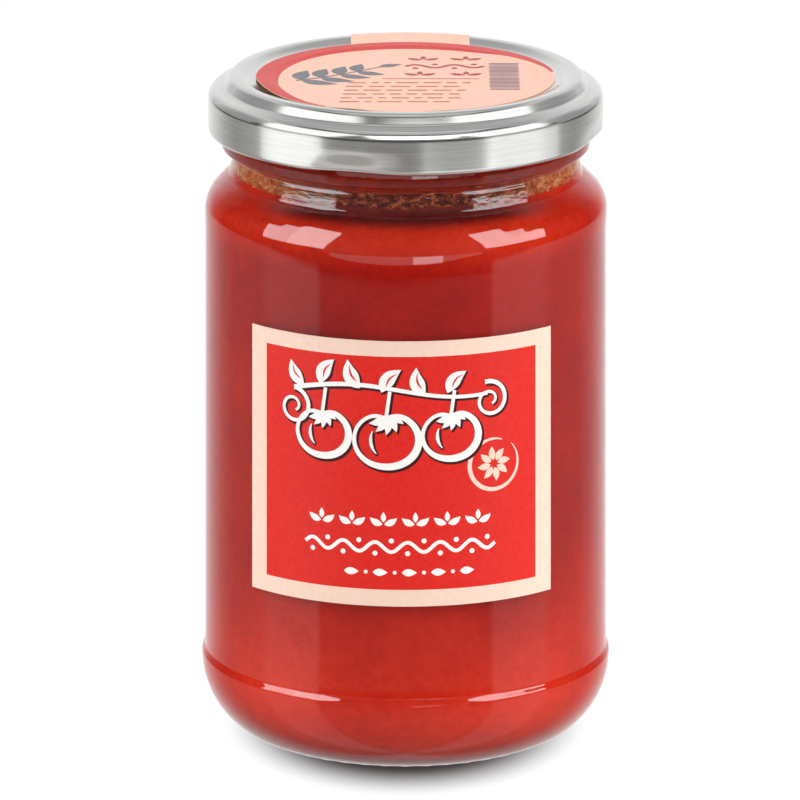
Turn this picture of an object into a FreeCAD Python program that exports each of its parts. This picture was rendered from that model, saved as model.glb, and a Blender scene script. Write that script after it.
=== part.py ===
import FreeCAD, Part
import math
import os

import Sketcher

# A jar of tomato sauce: a round glass jar with a rounded heel, a straight panel for its label, a
# rounded shoulder and a neck that closes with a twist-off lid of pressed tinplate. The sauce fills
# it to the foot of the neck. +Z points up and the origin is the middle of the foot, at table height.

# Driving dimensions: name, millimetres or degrees, meaning.
dimensions = [
    ("wall", 2.5, "glass wall of the body, the shoulder and the neck"),
    ("heel_radius", 34.82, "widest part of the jar, just above the foot"),
    ("heel_upper_arc", 14.4, "upper arc of the heel, seen from the side"),
    ("heel_lower_arc", 8.6, "lower arc of the heel, down to the foot"),
    ("heel_turn", 46.3, "degrees through which the upper arc turns"),
    ("foot_width", 2.6, "flat ring that the jar stands on"),
    ("push_up", 2.6, "rise of the underside at its middle"),
    ("push_up_rim", 1.4, "rise of the underside beside the foot"),
    ("push_up_width", 2.6, "width of the bend beside the foot"),
    ("heel_land", 0.5, "short straight wall above the heel"),
    ("heel_step_rise", 1.3, "height of the bend from the heel into the panel"),
    ("panel_foot_radius", 34.27, "foot of the straight wall that carries the label"),
    ("panel_top_radius", 33.83, "top of the same wall, which narrows a little as it rises"),
    ("shoulder_step_rise", 3.5, "height of the slight bend from the panel out to the shoulder"),
    ("shoulder_radius", 33.92, "outside of the jar where the shoulder starts"),
    ("shoulder_start", 90.86, "height at which the wall turns into the shoulder"),
    ("shoulder_arc", 5.85, "small arc at the edge of the shoulder"),
    ("shoulder_turn", 43.0, "degrees through which the small arc turns"),
    ("shoulder_end", 50.0, "degrees from level of the shoulder's normal at the neck"),
    ("neck_radius", 29.7, "foot of the neck, above the shoulder"),
    ("neck_lean", 13.0, "degrees by which the neck's outside leans in"),
    ("neck_fillet", 1.0, "hollow fillet between shoulder and neck"),
    ("groove_start", 99.8, "height at which the neck turns into its groove"),
    ("groove_depth", 0.25, "depth of the groove under the neck ring"),
    ("groove_rise", 0.7, "height of the bend into the groove"),
    ("ring_radius", 31.05, "ring below the lid, used to carry the jar while it is made"),
    ("ring_rise", 1.7, "height of the bend from the groove out to the ring"),
    ("ring_top", 104.8, "height at which the ring ends"),
    ("ring_top_radius", 30.83, "top of the ring, which narrows a little as it rises"),
    ("finish_radius", 30.1, "wall inside the lid"),
    ("finish_rise", 1.2, "height of the bend above the ring"),
    ("rim_start", 110.6, "height at which the wall narrows to the rim"),
    ("rim_rise", 1.3, "height of the bend below the rim"),
    ("rim_radius", 29.4, "outside of the rim"),
    ("rim_outer_arc", 0.95, "rounding of the rim's outer edge"),
    ("rim_inner_arc", 1.0, "rounding of the rim's inner edge"),
    ("floor", 4.2, "height of the inside floor beside the inner heel"),
    ("floor_middle", 5.8, "height of the inside floor at its middle"),
    ("inner_heel_arc", 9.5, "rounding between the inside wall and the floor"),
    ("sauce_level", 97.0, "height of the sauce"),
    ("sheet", 0.25, "thickness of the tinplate"),
    ("lid_radius", 33.2, "outside of the lid's skirt"),
    ("curl_arc", 0.75, "outer radius of the rolled lower edge"),
    ("curl_height", 105.15, "height of the middle of the rolled edge"),
    ("curl_tail", 0.4, "straight end of the rolled edge, inside the skirt"),
    ("lid_edge_arc", 1.8, "rounding of the lid's outer edge"),
    ("lid_edge_height", 110.28, "height at which the skirt turns into that edge"),
    ("step_fall", 16.0, "degrees by which the step inside the edge slopes outwards"),
    ("bead_foot_arc", 0.7, "hollow bend between the step and the raised bead"),
    ("bead_radius", 30.0, "radius that the rounding of the raised bead would reach out to"),
    ("bead_arc", 1.3, "rounding of the bead's outer edge"),
    ("bead_lean", 32.0, "degrees from level of the normal of the bead's outer slope"),
    ("bead_slope", 1.1, "length of that slope"),
    ("bead_top", 114.2, "height of the raised bead"),
    ("bead_inner", 28.3, "radius at which the bead starts to fall to the panel"),
    ("land_radius", 25.3, "outside of the flat land inside the bead"),
    ("land_height", 113.35, "height of the land"),
    ("dish_outer", 22.8, "outside of the bend into the middle of the lid"),
    ("dish_inner", 21.8, "inside of the bend into the middle of the lid"),
    ("dish_height", 113.05, "height of the middle of the lid"),
    ("lug_count", 4.0, "lugs that grip the thread of the jar"),
    ("lug_angle", 26.0, "degrees that each lug spans"),
    ("lug_turn", -15.0, "degrees by which the front lug stands to the left"),
    ("lug_reach", 31.1, "radius that the lugs reach in to"),
    ("lug_drop", 0.4, "depth of a lug below the middle of the rolled edge"),
    ("lug_height", 0.6, "height of a lug"),
    ("paper", 0.15, "thickness of the label and of the seal"),
    ("label_bottom", 30.75, "height of the label's lower edge"),
    ("label_height", 45.8, "height of the label"),
    ("label_angle", 94.0, "degrees of the jar's wall that the label covers"),
    ("label_turn", -1.75, "degrees by which the label's middle stands to the left"),
    ("seal_radius", 25.2, "round seal on the lid"),
    ("tab_width", 20.2, "strip of the seal that runs over the back edge of the lid"),
    ("tab_shift", 0.8, "how far the strip stands to the right of the middle"),
    ("tab_lean", 53.5, "degrees from level of the strip's normal between bead and edge"),
    ("tab_end", 106.4, "height of the strip's lower end"),
    ("trim_margin", 5.0, "how far the trimming tool reaches beyond the lid"),
]

doc = FreeCAD.newDocument("tomato_sauce_jar")
sheet = doc.addObject("Spreadsheet::Sheet", "dims")
for row, (alias, size, meaning) in enumerate(dimensions, start=1):
    sheet.set(f"A{row}", alias)
    sheet.set(f"B{row}", str(size))
    sheet.set(f"C{row}", meaning)
    sheet.setAlias(f"B{row}", alias)
doc.recompute()


class Size:
    """A number together with the sheet formula that gives it."""

    def __init__(self, number, formula):
        self.number = number
        self.formula = formula

    def __add__(self, other):
        other = size_of(other)
        return Size(self.number + other.number, f"({self.formula} + {other.formula})")

    def __sub__(self, other):
        other = size_of(other)
        return Size(self.number - other.number, f"({self.formula} - {other.formula})")

    def __mul__(self, other):
        other = size_of(other)
        return Size(self.number * other.number, f"({self.formula} * {other.formula})")

    def __truediv__(self, other):
        other = size_of(other)
        return Size(self.number / other.number, f"({self.formula} / {other.formula})")


def size_of(value):
    return value if isinstance(value, Size) else Size(float(value), str(value))


def cosine(angle):
    return Size(math.cos(math.radians(angle.number)), f"cos({angle.formula})")


def sine(angle):
    return Size(math.sin(math.radians(angle.number)), f"sin({angle.formula})")


def root(square):
    return Size(math.sqrt(square.number), f"sqrt({square.formula})")


class Dims:
    """The sheet's cells by name, such as dim.wall."""

    def __init__(self):
        for name, size, _ in dimensions:
            setattr(self, name, Size(size, f"dims.{name}"))


dim = Dims()
zero = Size(0.0, "0")


# An outline is a list of stations. Each is (x, z) reached by a straight line, or (x, z, radius,
# side) reached by an arc, where side is 1 if the arc bends to the left on the way and -1 to the right.


def bend_upright(start, end, first_side):
    """Two equal arcs that leave and arrive upright, as in the step between heel and panel."""
    width, rise = end[0] - start[0], end[1] - start[1]
    radius = (width * width + rise * rise) / width / 4
    if radius.number < 0:
        radius = zero - radius
    middle = ((start[0] + end[0]) / 2, (start[1] + end[1]) / 2)
    return [(*middle, radius, first_side), (*end, radius, -first_side)]


def bend_level(start, end, first_side):
    """Two equal arcs that leave and arrive level, as in the step down into the lid's panel."""
    width, rise = end[0] - start[0], end[1] - start[1]
    radius = (width * width + rise * rise) / rise / 4
    if radius.number < 0:
        radius = zero - radius
    middle = ((start[0] + end[0]) / 2, (start[1] + end[1]) / 2)
    return [(*middle, radius, first_side), (*end, radius, -first_side)]


def arc_through(start, end, radius, side):
    """An arc of less than half a turn from start to end, bending left for side 1, right for -1."""
    chord = FreeCAD.Vector(end[0] - start[0], end[1] - start[1], 0)
    middle = FreeCAD.Vector((start[0] + end[0]) / 2, (start[1] + end[1]) / 2, 0)
    left = FreeCAD.Vector(-chord.y, chord.x, 0).normalize()
    depth = math.sqrt(max(radius**2 - (chord.Length / 2) ** 2, 0))
    centre = middle + left * (side * depth)
    turns = [math.atan2(p[1] - centre.y, p[0] - centre.x) for p in (start, end)]
    if side < 0:
        turns.reverse()
    circle = Part.Circle(centre, FreeCAD.Vector(0, 0, 1), radius)
    return Part.ArcOfCircle(circle, turns[0], turns[1])


def plane_of(body, role):
    return next(f for f in body.Origin.OriginFeatures if f.Role == role)


def pin(sketch, edge, corner, kind, place):
    """Ties one corner of an edge to its distance from the sketch's origin."""
    axis = -2 if kind == "DistanceX" else -1
    if place.number == 0:
        sketch.addConstraint(Sketcher.Constraint("PointOnObject", edge, corner, axis))
        return
    number = sketch.addConstraint(
        Sketcher.Constraint(kind, -1, 1, edge, corner, place.number)
    )
    sketch.setExpression(f"Constraints[{number}]", place.formula)


def add_outline(sketch, stations):
    """Draws a closed outline in a sketch and ties every station and radius to the sheet."""
    points = [(s[0].number, s[1].number) for s in stations]
    first = sketch.GeometryCount
    ends = []
    for index, station in enumerate(stations):
        start, end = points[index - 1], points[index]
        edge = first + index
        if len(station) == 2:
            line = Part.LineSegment(FreeCAD.Vector(*start, 0), FreeCAD.Vector(*end, 0))
            sketch.addGeometry(line, False)
            ends.append((1, 2))
        else:
            radius, side = station[2], station[3]
            sketch.addGeometry(arc_through(start, end, radius.number, side), False)
            ends.append((1, 2) if side > 0 else (2, 1))
    for index, station in enumerate(stations):
        edge, follower = first + index, first + (index + 1) % len(stations)
        arriving = ends[index][1]
        leaving = ends[(index + 1) % len(stations)][0]
        sketch.addConstraint(
            Sketcher.Constraint("Coincident", edge, arriving, follower, leaving)
        )
        pin(sketch, edge, arriving, "DistanceX", station[0])
        pin(sketch, edge, arriving, "DistanceY", station[1])
        if len(station) == 4:
            number = sketch.addConstraint(
                Sketcher.Constraint("Radius", edge, station[2].number)
            )
            sketch.setExpression(f"Constraints[{number}]", station[2].formula)


def new_sketch(body, name, role, stations):
    sketch = body.newObject("Sketcher::SketchObject", name)
    sketch.AttachmentSupport = [(plane_of(body, role), "")]
    sketch.MapMode = "FlatFace"
    add_outline(sketch, stations)
    return sketch


def turned(body, name, stations, angle=None):
    """A revolution about +Z of an outline in the XZ plane: a full turn, or angle centred on it."""
    sketch = new_sketch(body, name + "_outline", "XZ_Plane", stations)
    turn = body.newObject("PartDesign::Revolution", name)
    turn.Profile = sketch
    turn.ReferenceAxis = (sketch, ["V_Axis"])
    turn.Angle = 360.0
    if angle is not None:
        turn.Midplane = True
        turn.setExpression("Angle", angle.formula)
    return turn


def new_body(node):
    body = doc.addObject("PartDesign::Body", node)
    body.Label = node
    return body


# The heel's two arcs meet the foot level and the wall upright.
arc_gap = dim.heel_upper_arc - dim.heel_lower_arc
foot_outer = dim.heel_radius - dim.heel_upper_arc + arc_gap * cosine(dim.heel_turn)
heel_height = arc_gap * sine(dim.heel_turn) + dim.heel_lower_arc
heel_joint = (
    foot_outer + dim.heel_lower_arc * cosine(dim.heel_turn),
    dim.heel_lower_arc - dim.heel_lower_arc * sine(dim.heel_turn),
)
foot_inner = foot_outer - dim.foot_width
push_up_radius = foot_inner - dim.push_up_width
push_up_bend = (
    dim.push_up_width * dim.push_up_width + dim.push_up_rim * dim.push_up_rim
) / (dim.push_up_rim * 2)
dome_rise = dim.push_up - dim.push_up_rim
dome_radius = (push_up_radius * push_up_radius + dome_rise * dome_rise) / (dome_rise * 2)
panel_start = heel_height + dim.heel_land + dim.heel_step_rise
panel_end = dim.shoulder_start - dim.shoulder_step_rise

# The shoulder's long arc starts where the small one ends and meets the fillet of the neck.
shoulder_fall = dim.neck_radius + dim.neck_fillet - dim.neck_fillet * cosine(dim.shoulder_end)
shoulder_reach = dim.shoulder_radius - dim.shoulder_arc + dim.shoulder_arc * cosine(dim.shoulder_turn)
shoulder_long_arc = (shoulder_reach - shoulder_fall) / (
    cosine(dim.shoulder_turn) - cosine(dim.shoulder_end)
)
shoulder_drop = (dim.shoulder_arc - shoulder_long_arc) * sine(dim.shoulder_turn)
long_arc_height = dim.shoulder_start + shoulder_drop
long_arc_middle = (
    dim.shoulder_radius
    - dim.shoulder_arc
    + (dim.shoulder_arc - shoulder_long_arc) * cosine(dim.shoulder_turn)
)
fillet_start = long_arc_height + shoulder_long_arc * sine(dim.shoulder_end)
neck_start = fillet_start + dim.neck_fillet * sine(dim.shoulder_end)
fillet_middle = dim.neck_radius + dim.neck_fillet
groove_top = dim.groove_start + dim.groove_rise
neck_foot_height = neck_start - dim.neck_fillet * sine(dim.neck_lean)
neck_lean_in = (dim.groove_start - neck_foot_height) * sine(dim.neck_lean) / cosine(dim.neck_lean)
neck_top_radius = fillet_middle - dim.neck_fillet * cosine(dim.neck_lean) - neck_lean_in
groove_radius = neck_top_radius - dim.groove_depth
rim_top = dim.bead_top - dim.sheet
bore = dim.neck_radius - dim.wall
inner_top_radius = dim.shoulder_radius - dim.wall
inner_foot_radius = dim.panel_foot_radius - dim.wall
inner_floor_radius = inner_foot_radius - dim.inner_heel_arc
inner_rise = dim.floor_middle - dim.floor
floor_radius = (inner_floor_radius * inner_floor_radius + inner_rise * inner_rise) / (
    inner_rise * 2
)


def panel_radius_at(height):
    """Outside radius of the straight wall at a height between its foot and its top."""
    share = (height - panel_start) / (panel_end - panel_start)
    return dim.panel_foot_radius - (dim.panel_foot_radius - dim.panel_top_radius) * share


def shoulder_wall(offset, lean):
    """Stations up the shoulder from its start to the foot of the neck, which leans in by lean."""
    small = dim.shoulder_arc - offset
    long = shoulder_long_arc - offset
    fillet = dim.neck_fillet + offset
    return [
        (
            dim.shoulder_radius - dim.shoulder_arc + small * cosine(dim.shoulder_turn),
            dim.shoulder_start + small * sine(dim.shoulder_turn),
            small,
            1,
        ),
        (
            long_arc_middle + long * cosine(dim.shoulder_end),
            long_arc_height + long * sine(dim.shoulder_end),
            long,
            1,
        ),
        (
            fillet_middle - fillet * cosine(lean),
            neck_start - fillet * sine(lean),
            fillet,
            -1,
        ),
    ]


def backwards(stations, start):
    """The same path walked from its end back to start, which is the station before its first."""
    places = [start] + [s[:2] for s in stations]
    walked = []
    for index in range(len(stations) - 1, -1, -1):
        bend = stations[index][2:]
        walked.append((*places[index], bend[0], -bend[1]) if bend else places[index])
    return walked


inner_shoulder = shoulder_wall(dim.wall, zero)
inner_shoulder_foot = (inner_top_radius, dim.shoulder_start)


def make_glass_jar():
    """The jar: underside, heel, panel, shoulder, neck and rim outside, then the inside wall."""
    step_foot = (dim.heel_radius, heel_height + dim.heel_land)
    panel_foot = (dim.panel_foot_radius, panel_start)
    panel_top = (dim.panel_top_radius, panel_end)
    shoulder_foot = (dim.shoulder_radius, dim.shoulder_start)
    ring_foot = (dim.ring_radius, groove_top + dim.ring_rise)
    finish_foot = (dim.finish_radius, dim.ring_top + dim.finish_rise)
    rim_foot = (dim.rim_radius, dim.rim_start + dim.rim_rise)
    outside = [
        (zero, dim.push_up),
        (push_up_radius, dim.push_up_rim, dome_radius, -1),
        (foot_inner, zero, push_up_bend, 1),
        (foot_outer, zero),
        (*heel_joint, dim.heel_lower_arc, 1),
        (dim.heel_radius, heel_height, dim.heel_upper_arc, 1),
        step_foot,
        *bend_upright(step_foot, panel_foot, 1),
        panel_top,
        *bend_upright(panel_top, shoulder_foot, -1),
        *shoulder_wall(zero, dim.neck_lean),
        (neck_top_radius, dim.groove_start),
        *bend_upright((neck_top_radius, dim.groove_start), (groove_radius, groove_top), 1),
        *bend_upright((groove_radius, groove_top), ring_foot, -1),
        (dim.ring_top_radius, dim.ring_top),
        *bend_upright((dim.ring_top_radius, dim.ring_top), finish_foot, 1),
        (dim.finish_radius, dim.rim_start),
        *bend_upright((dim.finish_radius, dim.rim_start), rim_foot, 1),
        (dim.rim_radius, rim_top - dim.rim_outer_arc),
        (dim.rim_radius - dim.rim_outer_arc, rim_top, dim.rim_outer_arc, 1),
    ]
    inside = [
        (bore + dim.rim_inner_arc, rim_top),
        (bore, rim_top - dim.rim_inner_arc, dim.rim_inner_arc, 1),
        (bore, neck_start),
        *backwards(inner_shoulder, inner_shoulder_foot),
        (inner_foot_radius, dim.floor + dim.inner_heel_arc),
        (inner_floor_radius, dim.floor, dim.inner_heel_arc, -1),
        (zero, dim.floor_middle, floor_radius, 1),
    ]
    body = new_body("glass_jar")
    turned(body, "jar_wall", outside + inside)
    return body


def make_tomato_sauce():
    """The sauce: all the space inside the jar up to its level, which lies in the neck's fillet."""
    fillet = dim.neck_fillet + dim.wall
    below = neck_start - dim.sauce_level
    level_radius = fillet_middle - root(fillet * fillet - below * below)
    body = new_body("tomato_sauce")
    fill = [
        (zero, dim.floor_middle),
        (inner_floor_radius, dim.floor, floor_radius, -1),
        (inner_foot_radius, dim.floor + dim.inner_heel_arc, dim.inner_heel_arc, 1),
        inner_shoulder_foot,
        *inner_shoulder[:-1],
        (level_radius, dim.sauce_level, fillet, -1),
        (zero, dim.sauce_level),
    ]
    turned(body, "sauce_fill", fill)
    return body


# The bead's outside is an arc, a straight slope and the hollow bend at its foot.
edge_middle = (dim.lid_radius - dim.lid_edge_arc, dim.lid_edge_height)
bead_middle = (dim.bead_radius - dim.bead_arc, dim.bead_top - dim.bead_arc)
bead_reach = dim.bead_arc + dim.bead_foot_arc
bead_foot = (
    bead_middle[0] + bead_reach * cosine(dim.bead_lean) + dim.bead_slope * sine(dim.bead_lean),
    bead_middle[1] + bead_reach * sine(dim.bead_lean) - dim.bead_slope * cosine(dim.bead_lean),
)


def beside(middle, distance, across, up):
    """The point at a distance from an arc's middle, whose way there is given by two shares."""
    return (middle[0] + distance * across, middle[1] + distance * up)


def lid_panel(lift):
    """Stations from the lid's middle out to the top of its bead, lifted off the outer face."""
    dish, land, top = (h + lift for h in (dim.dish_height, dim.land_height, dim.bead_top))
    return [
        (zero, dish),
        (dim.dish_inner, dish),
        *bend_level((dim.dish_inner, dish), (dim.dish_outer, land), 1),
        (dim.land_radius, land),
        *bend_level((dim.land_radius, land), (dim.bead_inner, top), 1),
        (bead_middle[0], top),
    ]


def make_lid():
    """The lid: one sheet pressed to a panel, a bead, a step and a skirt with a rolled edge."""
    curl_middle = dim.lid_radius - dim.curl_arc
    inner_curl = dim.curl_arc - dim.sheet
    tail = dim.curl_height + dim.curl_tail
    minus_sheet = zero - dim.sheet
    slope = (cosine(dim.bead_lean), sine(dim.bead_lean))
    step = (sine(dim.step_fall), cosine(dim.step_fall))
    back_slope = (zero - slope[0], zero - slope[1])
    back_step = (zero - step[0], zero - step[1])
    top = lid_panel(zero) + [
        (*beside(bead_middle, dim.bead_arc, *slope), dim.bead_arc, -1),
        beside(bead_foot, dim.bead_foot_arc, *back_slope),
        (*beside(bead_foot, dim.bead_foot_arc, *back_step), dim.bead_foot_arc, 1),
        beside(edge_middle, dim.lid_edge_arc, *step),
        (dim.lid_radius, edge_middle[1], dim.lid_edge_arc, -1),
        (dim.lid_radius, dim.curl_height),
        (curl_middle, dim.curl_height - dim.curl_arc, dim.curl_arc, -1),
        (curl_middle - dim.curl_arc, dim.curl_height, dim.curl_arc, -1),
        (curl_middle - dim.curl_arc, tail),
        (curl_middle - inner_curl, tail),
        (curl_middle - inner_curl, dim.curl_height),
        (curl_middle, dim.curl_height - inner_curl, inner_curl, 1),
        (curl_middle + inner_curl, dim.curl_height, inner_curl, 1),
    ]
    edge_inner = dim.lid_edge_arc - dim.sheet
    bead_inner_arc = dim.bead_arc - dim.sheet
    foot_inner_arc = dim.bead_foot_arc + dim.sheet
    under = [
        (dim.lid_radius - dim.sheet, edge_middle[1]),
        (*beside(edge_middle, edge_inner, *step), edge_inner, 1),
        beside(bead_foot, foot_inner_arc, *back_step),
        (*beside(bead_foot, foot_inner_arc, *back_slope), foot_inner_arc, -1),
        beside(bead_middle, bead_inner_arc, *slope),
        (bead_middle[0], dim.bead_top - dim.sheet, bead_inner_arc, 1),
        *backwards(lid_panel(minus_sheet)[1:], lid_panel(minus_sheet)[0]),
    ]
    body = new_body("lid")
    turned(body, "lid_sheet", top + under)
    lug_low = dim.curl_height - dim.lug_drop
    lug_outline = [
        (dim.lug_reach, lug_low),
        (curl_middle - dim.curl_arc + dim.sheet / 2, lug_low),
        (curl_middle - dim.curl_arc + dim.sheet / 2, lug_low + dim.lug_height),
        (dim.lug_reach, lug_low + dim.lug_height),
    ]
    lug = turned(body, "lid_lug", lug_outline, dim.lug_angle)
    doc.recompute()
    pattern = body.newObject("PartDesign::PolarPattern", "lid_lugs")
    pattern.Originals = [lug]
    pattern.Axis = (lug.Profile[0], ["V_Axis"])
    pattern.Angle = 360.0
    pattern.setExpression("Occurrences", dim.lug_count.formula)
    body.Tip = pattern
    body.Placement = FreeCAD.Placement(
        FreeCAD.Vector(0, 0, 0), FreeCAD.Rotation(FreeCAD.Vector(0, 0, 1), -90)
    )
    body.setExpression("Placement.Rotation.Angle", f"{dim.lug_turn.formula} - 90")
    return body


def make_front_label():
    """The paper label, a thin sector of a tube on the jar's panel, facing -Y."""
    label_top = dim.label_bottom + dim.label_height
    outline = [
        (panel_radius_at(dim.label_bottom), dim.label_bottom),
        (panel_radius_at(dim.label_bottom) + dim.paper, dim.label_bottom),
        (panel_radius_at(label_top) + dim.paper, label_top),
        (panel_radius_at(label_top), label_top),
    ]
    body = new_body("front_label")
    turned(body, "label_paper", outline, dim.label_angle)
    body.Placement = FreeCAD.Placement(
        FreeCAD.Vector(0, 0, 0), FreeCAD.Rotation(FreeCAD.Vector(0, 0, 1), -90)
    )
    body.setExpression("Placement.Rotation.Angle", f"{dim.label_turn.formula} - 90")
    return body


def tab_wall(lift):
    """Stations of the strip from the bead over the step, which it bridges, and down the skirt."""
    bead_arc, edge_arc = dim.bead_arc + lift, dim.lid_edge_arc + lift
    across, up = cosine(dim.tab_lean), sine(dim.tab_lean)
    return [
        (bead_middle[0] + bead_arc * across, bead_middle[1] + bead_arc * up, bead_arc, -1),
        (edge_middle[0] + edge_arc * across, edge_middle[1] + edge_arc * up),
        (dim.lid_radius + lift, edge_middle[1], edge_arc, -1),
        (dim.lid_radius + lift, dim.tab_end),
    ]


def make_lid_sticker():
    """The paper seal: a disc in the lid's panel with a strip over the back edge of the lid."""
    under = lid_panel(zero) + tab_wall(zero)
    over = lid_panel(dim.paper) + tab_wall(dim.paper)
    body = new_body("lid_sticker")
    whole = turned(body, "seal_paper", under + [over[-1][:2]] + backwards(over[1:], over[0]))
    doc.recompute()
    full_volume = whole.Shape.Volume

    reach = dim.lid_radius + dim.trim_margin
    half_tab = dim.tab_width / 2
    left, right = half_tab - dim.tab_shift, half_tab + dim.tab_shift
    left_start = root(dim.seal_radius * dim.seal_radius - left * left)
    right_start = root(dim.seal_radius * dim.seal_radius - right * right)
    trim = body.newObject("Sketcher::SketchObject", "seal_trim")
    trim.AttachmentSupport = [(plane_of(body, "XY_Plane"), "")]
    trim.MapMode = "FlatFace"
    minus_left, minus_reach, minus_seal = zero - left, zero - reach, zero - dim.seal_radius
    add_outline(
        trim,
        [
            (minus_left, left_start),
            (minus_seal, zero, dim.seal_radius, 1),
            (zero, minus_seal, dim.seal_radius, 1),
            (dim.seal_radius, zero, dim.seal_radius, 1),
            (right, right_start, dim.seal_radius, 1),
            (right, reach),
            (reach, reach),
            (reach, minus_reach),
            (minus_reach, minus_reach),
            (minus_reach, reach),
            (minus_left, reach),
        ],
    )
    cut = body.newObject("PartDesign::Pocket", "seal_cut")
    cut.Profile = trim
    cut.Type = 1
    cut.Midplane = True
    doc.recompute()
    if not cut.Shape.Volume < full_volume * 0.9:
        raise RuntimeError("the seal was not trimmed to its disc and strip")
    return body


bodies = [
    make_glass_jar(),
    make_tomato_sauce(),
    make_lid(),
    make_front_label(),
    make_lid_sticker(),
]
doc.recompute()

failed = [o.Label for o in doc.Objects if {"Invalid", "Error"} & set(o.State)]
if failed:
    raise RuntimeError(f"these objects failed: {failed}")
for body in bodies:
    if body.Shape.isNull() or not body.Shape.isValid() or len(body.Shape.Solids) != 1:
        raise RuntimeError(f"{body.Label} is not one valid solid")

os.makedirs("parts", exist_ok=True)
for body in bodies:
    body.Shape.exportStep(f"parts/{body.Label}.step")
    box = body.Shape.optimalBoundingBox(False, False)
    print(
        f"{body.Label}: {body.Shape.Volume / 1000:.2f} cm3, "
        f"x {box.XMin:.2f} to {box.XMax:.2f}, y {box.YMin:.2f} to {box.YMax:.2f}, "
        f"z {box.ZMin:.2f} to {box.ZMax:.2f}"
    )
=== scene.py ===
import math

import bmesh
import bpy
import numpy as np
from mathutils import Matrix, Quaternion, Vector


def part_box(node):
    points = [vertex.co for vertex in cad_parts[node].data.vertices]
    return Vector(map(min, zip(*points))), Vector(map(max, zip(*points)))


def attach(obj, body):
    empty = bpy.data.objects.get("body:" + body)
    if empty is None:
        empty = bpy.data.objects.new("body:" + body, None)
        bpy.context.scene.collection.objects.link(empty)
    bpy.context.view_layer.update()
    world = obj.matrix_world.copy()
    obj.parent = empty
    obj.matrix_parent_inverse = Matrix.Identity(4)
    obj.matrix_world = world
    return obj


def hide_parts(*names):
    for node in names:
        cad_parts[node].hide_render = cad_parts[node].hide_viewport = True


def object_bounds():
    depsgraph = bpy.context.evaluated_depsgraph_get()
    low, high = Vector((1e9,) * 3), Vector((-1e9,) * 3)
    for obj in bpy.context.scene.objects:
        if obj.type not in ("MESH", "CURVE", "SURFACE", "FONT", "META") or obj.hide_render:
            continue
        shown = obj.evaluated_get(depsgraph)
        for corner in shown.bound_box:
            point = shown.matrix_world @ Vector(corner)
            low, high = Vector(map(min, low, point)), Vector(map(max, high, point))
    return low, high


# A jar of tomato sauce: glass jar, sauce, pressed lid, paper label and paper seal. Sizes in the
# dictionaries are millimetres and degrees. The front of the jar faces -Y.

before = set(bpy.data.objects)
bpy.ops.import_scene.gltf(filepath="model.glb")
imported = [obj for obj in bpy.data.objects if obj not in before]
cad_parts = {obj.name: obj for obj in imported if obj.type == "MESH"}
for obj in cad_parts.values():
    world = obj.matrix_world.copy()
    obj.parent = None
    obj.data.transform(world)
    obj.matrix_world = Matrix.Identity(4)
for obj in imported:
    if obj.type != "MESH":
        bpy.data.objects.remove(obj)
cadLow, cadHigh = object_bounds()
mm = 0.001
print("frame loaded:", ", ".join(sorted(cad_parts)))

jarBox, sauceBox, lidBox = (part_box(node) for node in ("glass_jar", "tomato_sauce", "lid"))
labelBox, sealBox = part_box("front_label"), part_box("lid_sticker")


# Helpers for shapes.

def smooth(low, high, value):
    # rises from 0 at low to 1 at high as 3t^2 - 2t^3
    share = np.clip((value - low) / (high - low), 0, 1)
    return share * share * (3 - 2 * share)


def polar(middle, radius, angle):
    # points middle + radius * (cos a, sin a)
    return np.stack([middle[0] + radius * np.cos(angle), middle[1] + radius * np.sin(angle)], axis=-1)


def around(radius, angle, height):
    # points (r sin a, -r cos a, z) round the jar's axis
    return np.stack(
        np.broadcast_arrays(radius * np.sin(angle), -radius * np.cos(angle), height), axis=-1
    )


def fullTurn(columns):
    return np.linspace(0, 2 * np.pi, columns, endpoint=False)


def arc(middle, radius, start, end, steps=10):
    # part of a circle from start to end degrees
    return polar(middle, radius, np.radians(np.linspace(start, end, steps + 1)))


def line(start, end, steps=1):
    share = np.linspace(0, 1, steps + 1)[:, None]
    return np.array(start) * (1 - share) + np.array(end) * share


def uprightBend(start, end, steps=8):
    # height runs evenly and radius follows half a cosine wave, so both ends stand upright
    share = np.linspace(0, 1, steps + 1)
    ease = (1 - np.cos(np.pi * share)) / 2
    return np.stack([start[0] + (end[0] - start[0]) * ease, start[1] + (end[1] - start[1]) * share], axis=1)


def levelBend(start, end, steps=10):
    # radius runs evenly and height follows half a cosine wave, so both ends lie level
    return uprightBend(start[::-1], end[::-1], steps)[:, ::-1]


def cap(start, end, steps=12):
    # an arc that is level at start: height changes by R - sqrt(R^2 - x^2), R = (width^2 + fall^2) / (2 fall)
    width, fall = end[0] - start[0], end[1] - start[1]
    radius = (width ** 2 + fall ** 2) / (2 * abs(fall))
    across = np.linspace(0, width, steps + 1)
    drop = radius - np.sqrt(radius ** 2 - across ** 2)
    return np.stack([start[0] + across, start[1] + np.sign(fall) * drop], axis=1)


def joined(*stretches):
    # one outline from several stretches, each point kept once
    points = np.concatenate(stretches)
    steps = np.linalg.norm(np.diff(points, axis=0), axis=1)
    return points[np.concatenate([[True], steps > 1e-6])]


def turned(outline, columns):
    # carries each outline point (r, z) round the axis
    return around(outline[:, :1], fullTurn(columns), outline[:, 1:])


def pushOut(points, angle, out):
    # moves the points of a turned outline away from the axis, which changes the array itself
    points[:, :, 0] += out * np.sin(angle)
    points[:, :, 1] -= out * np.cos(angle)


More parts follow.
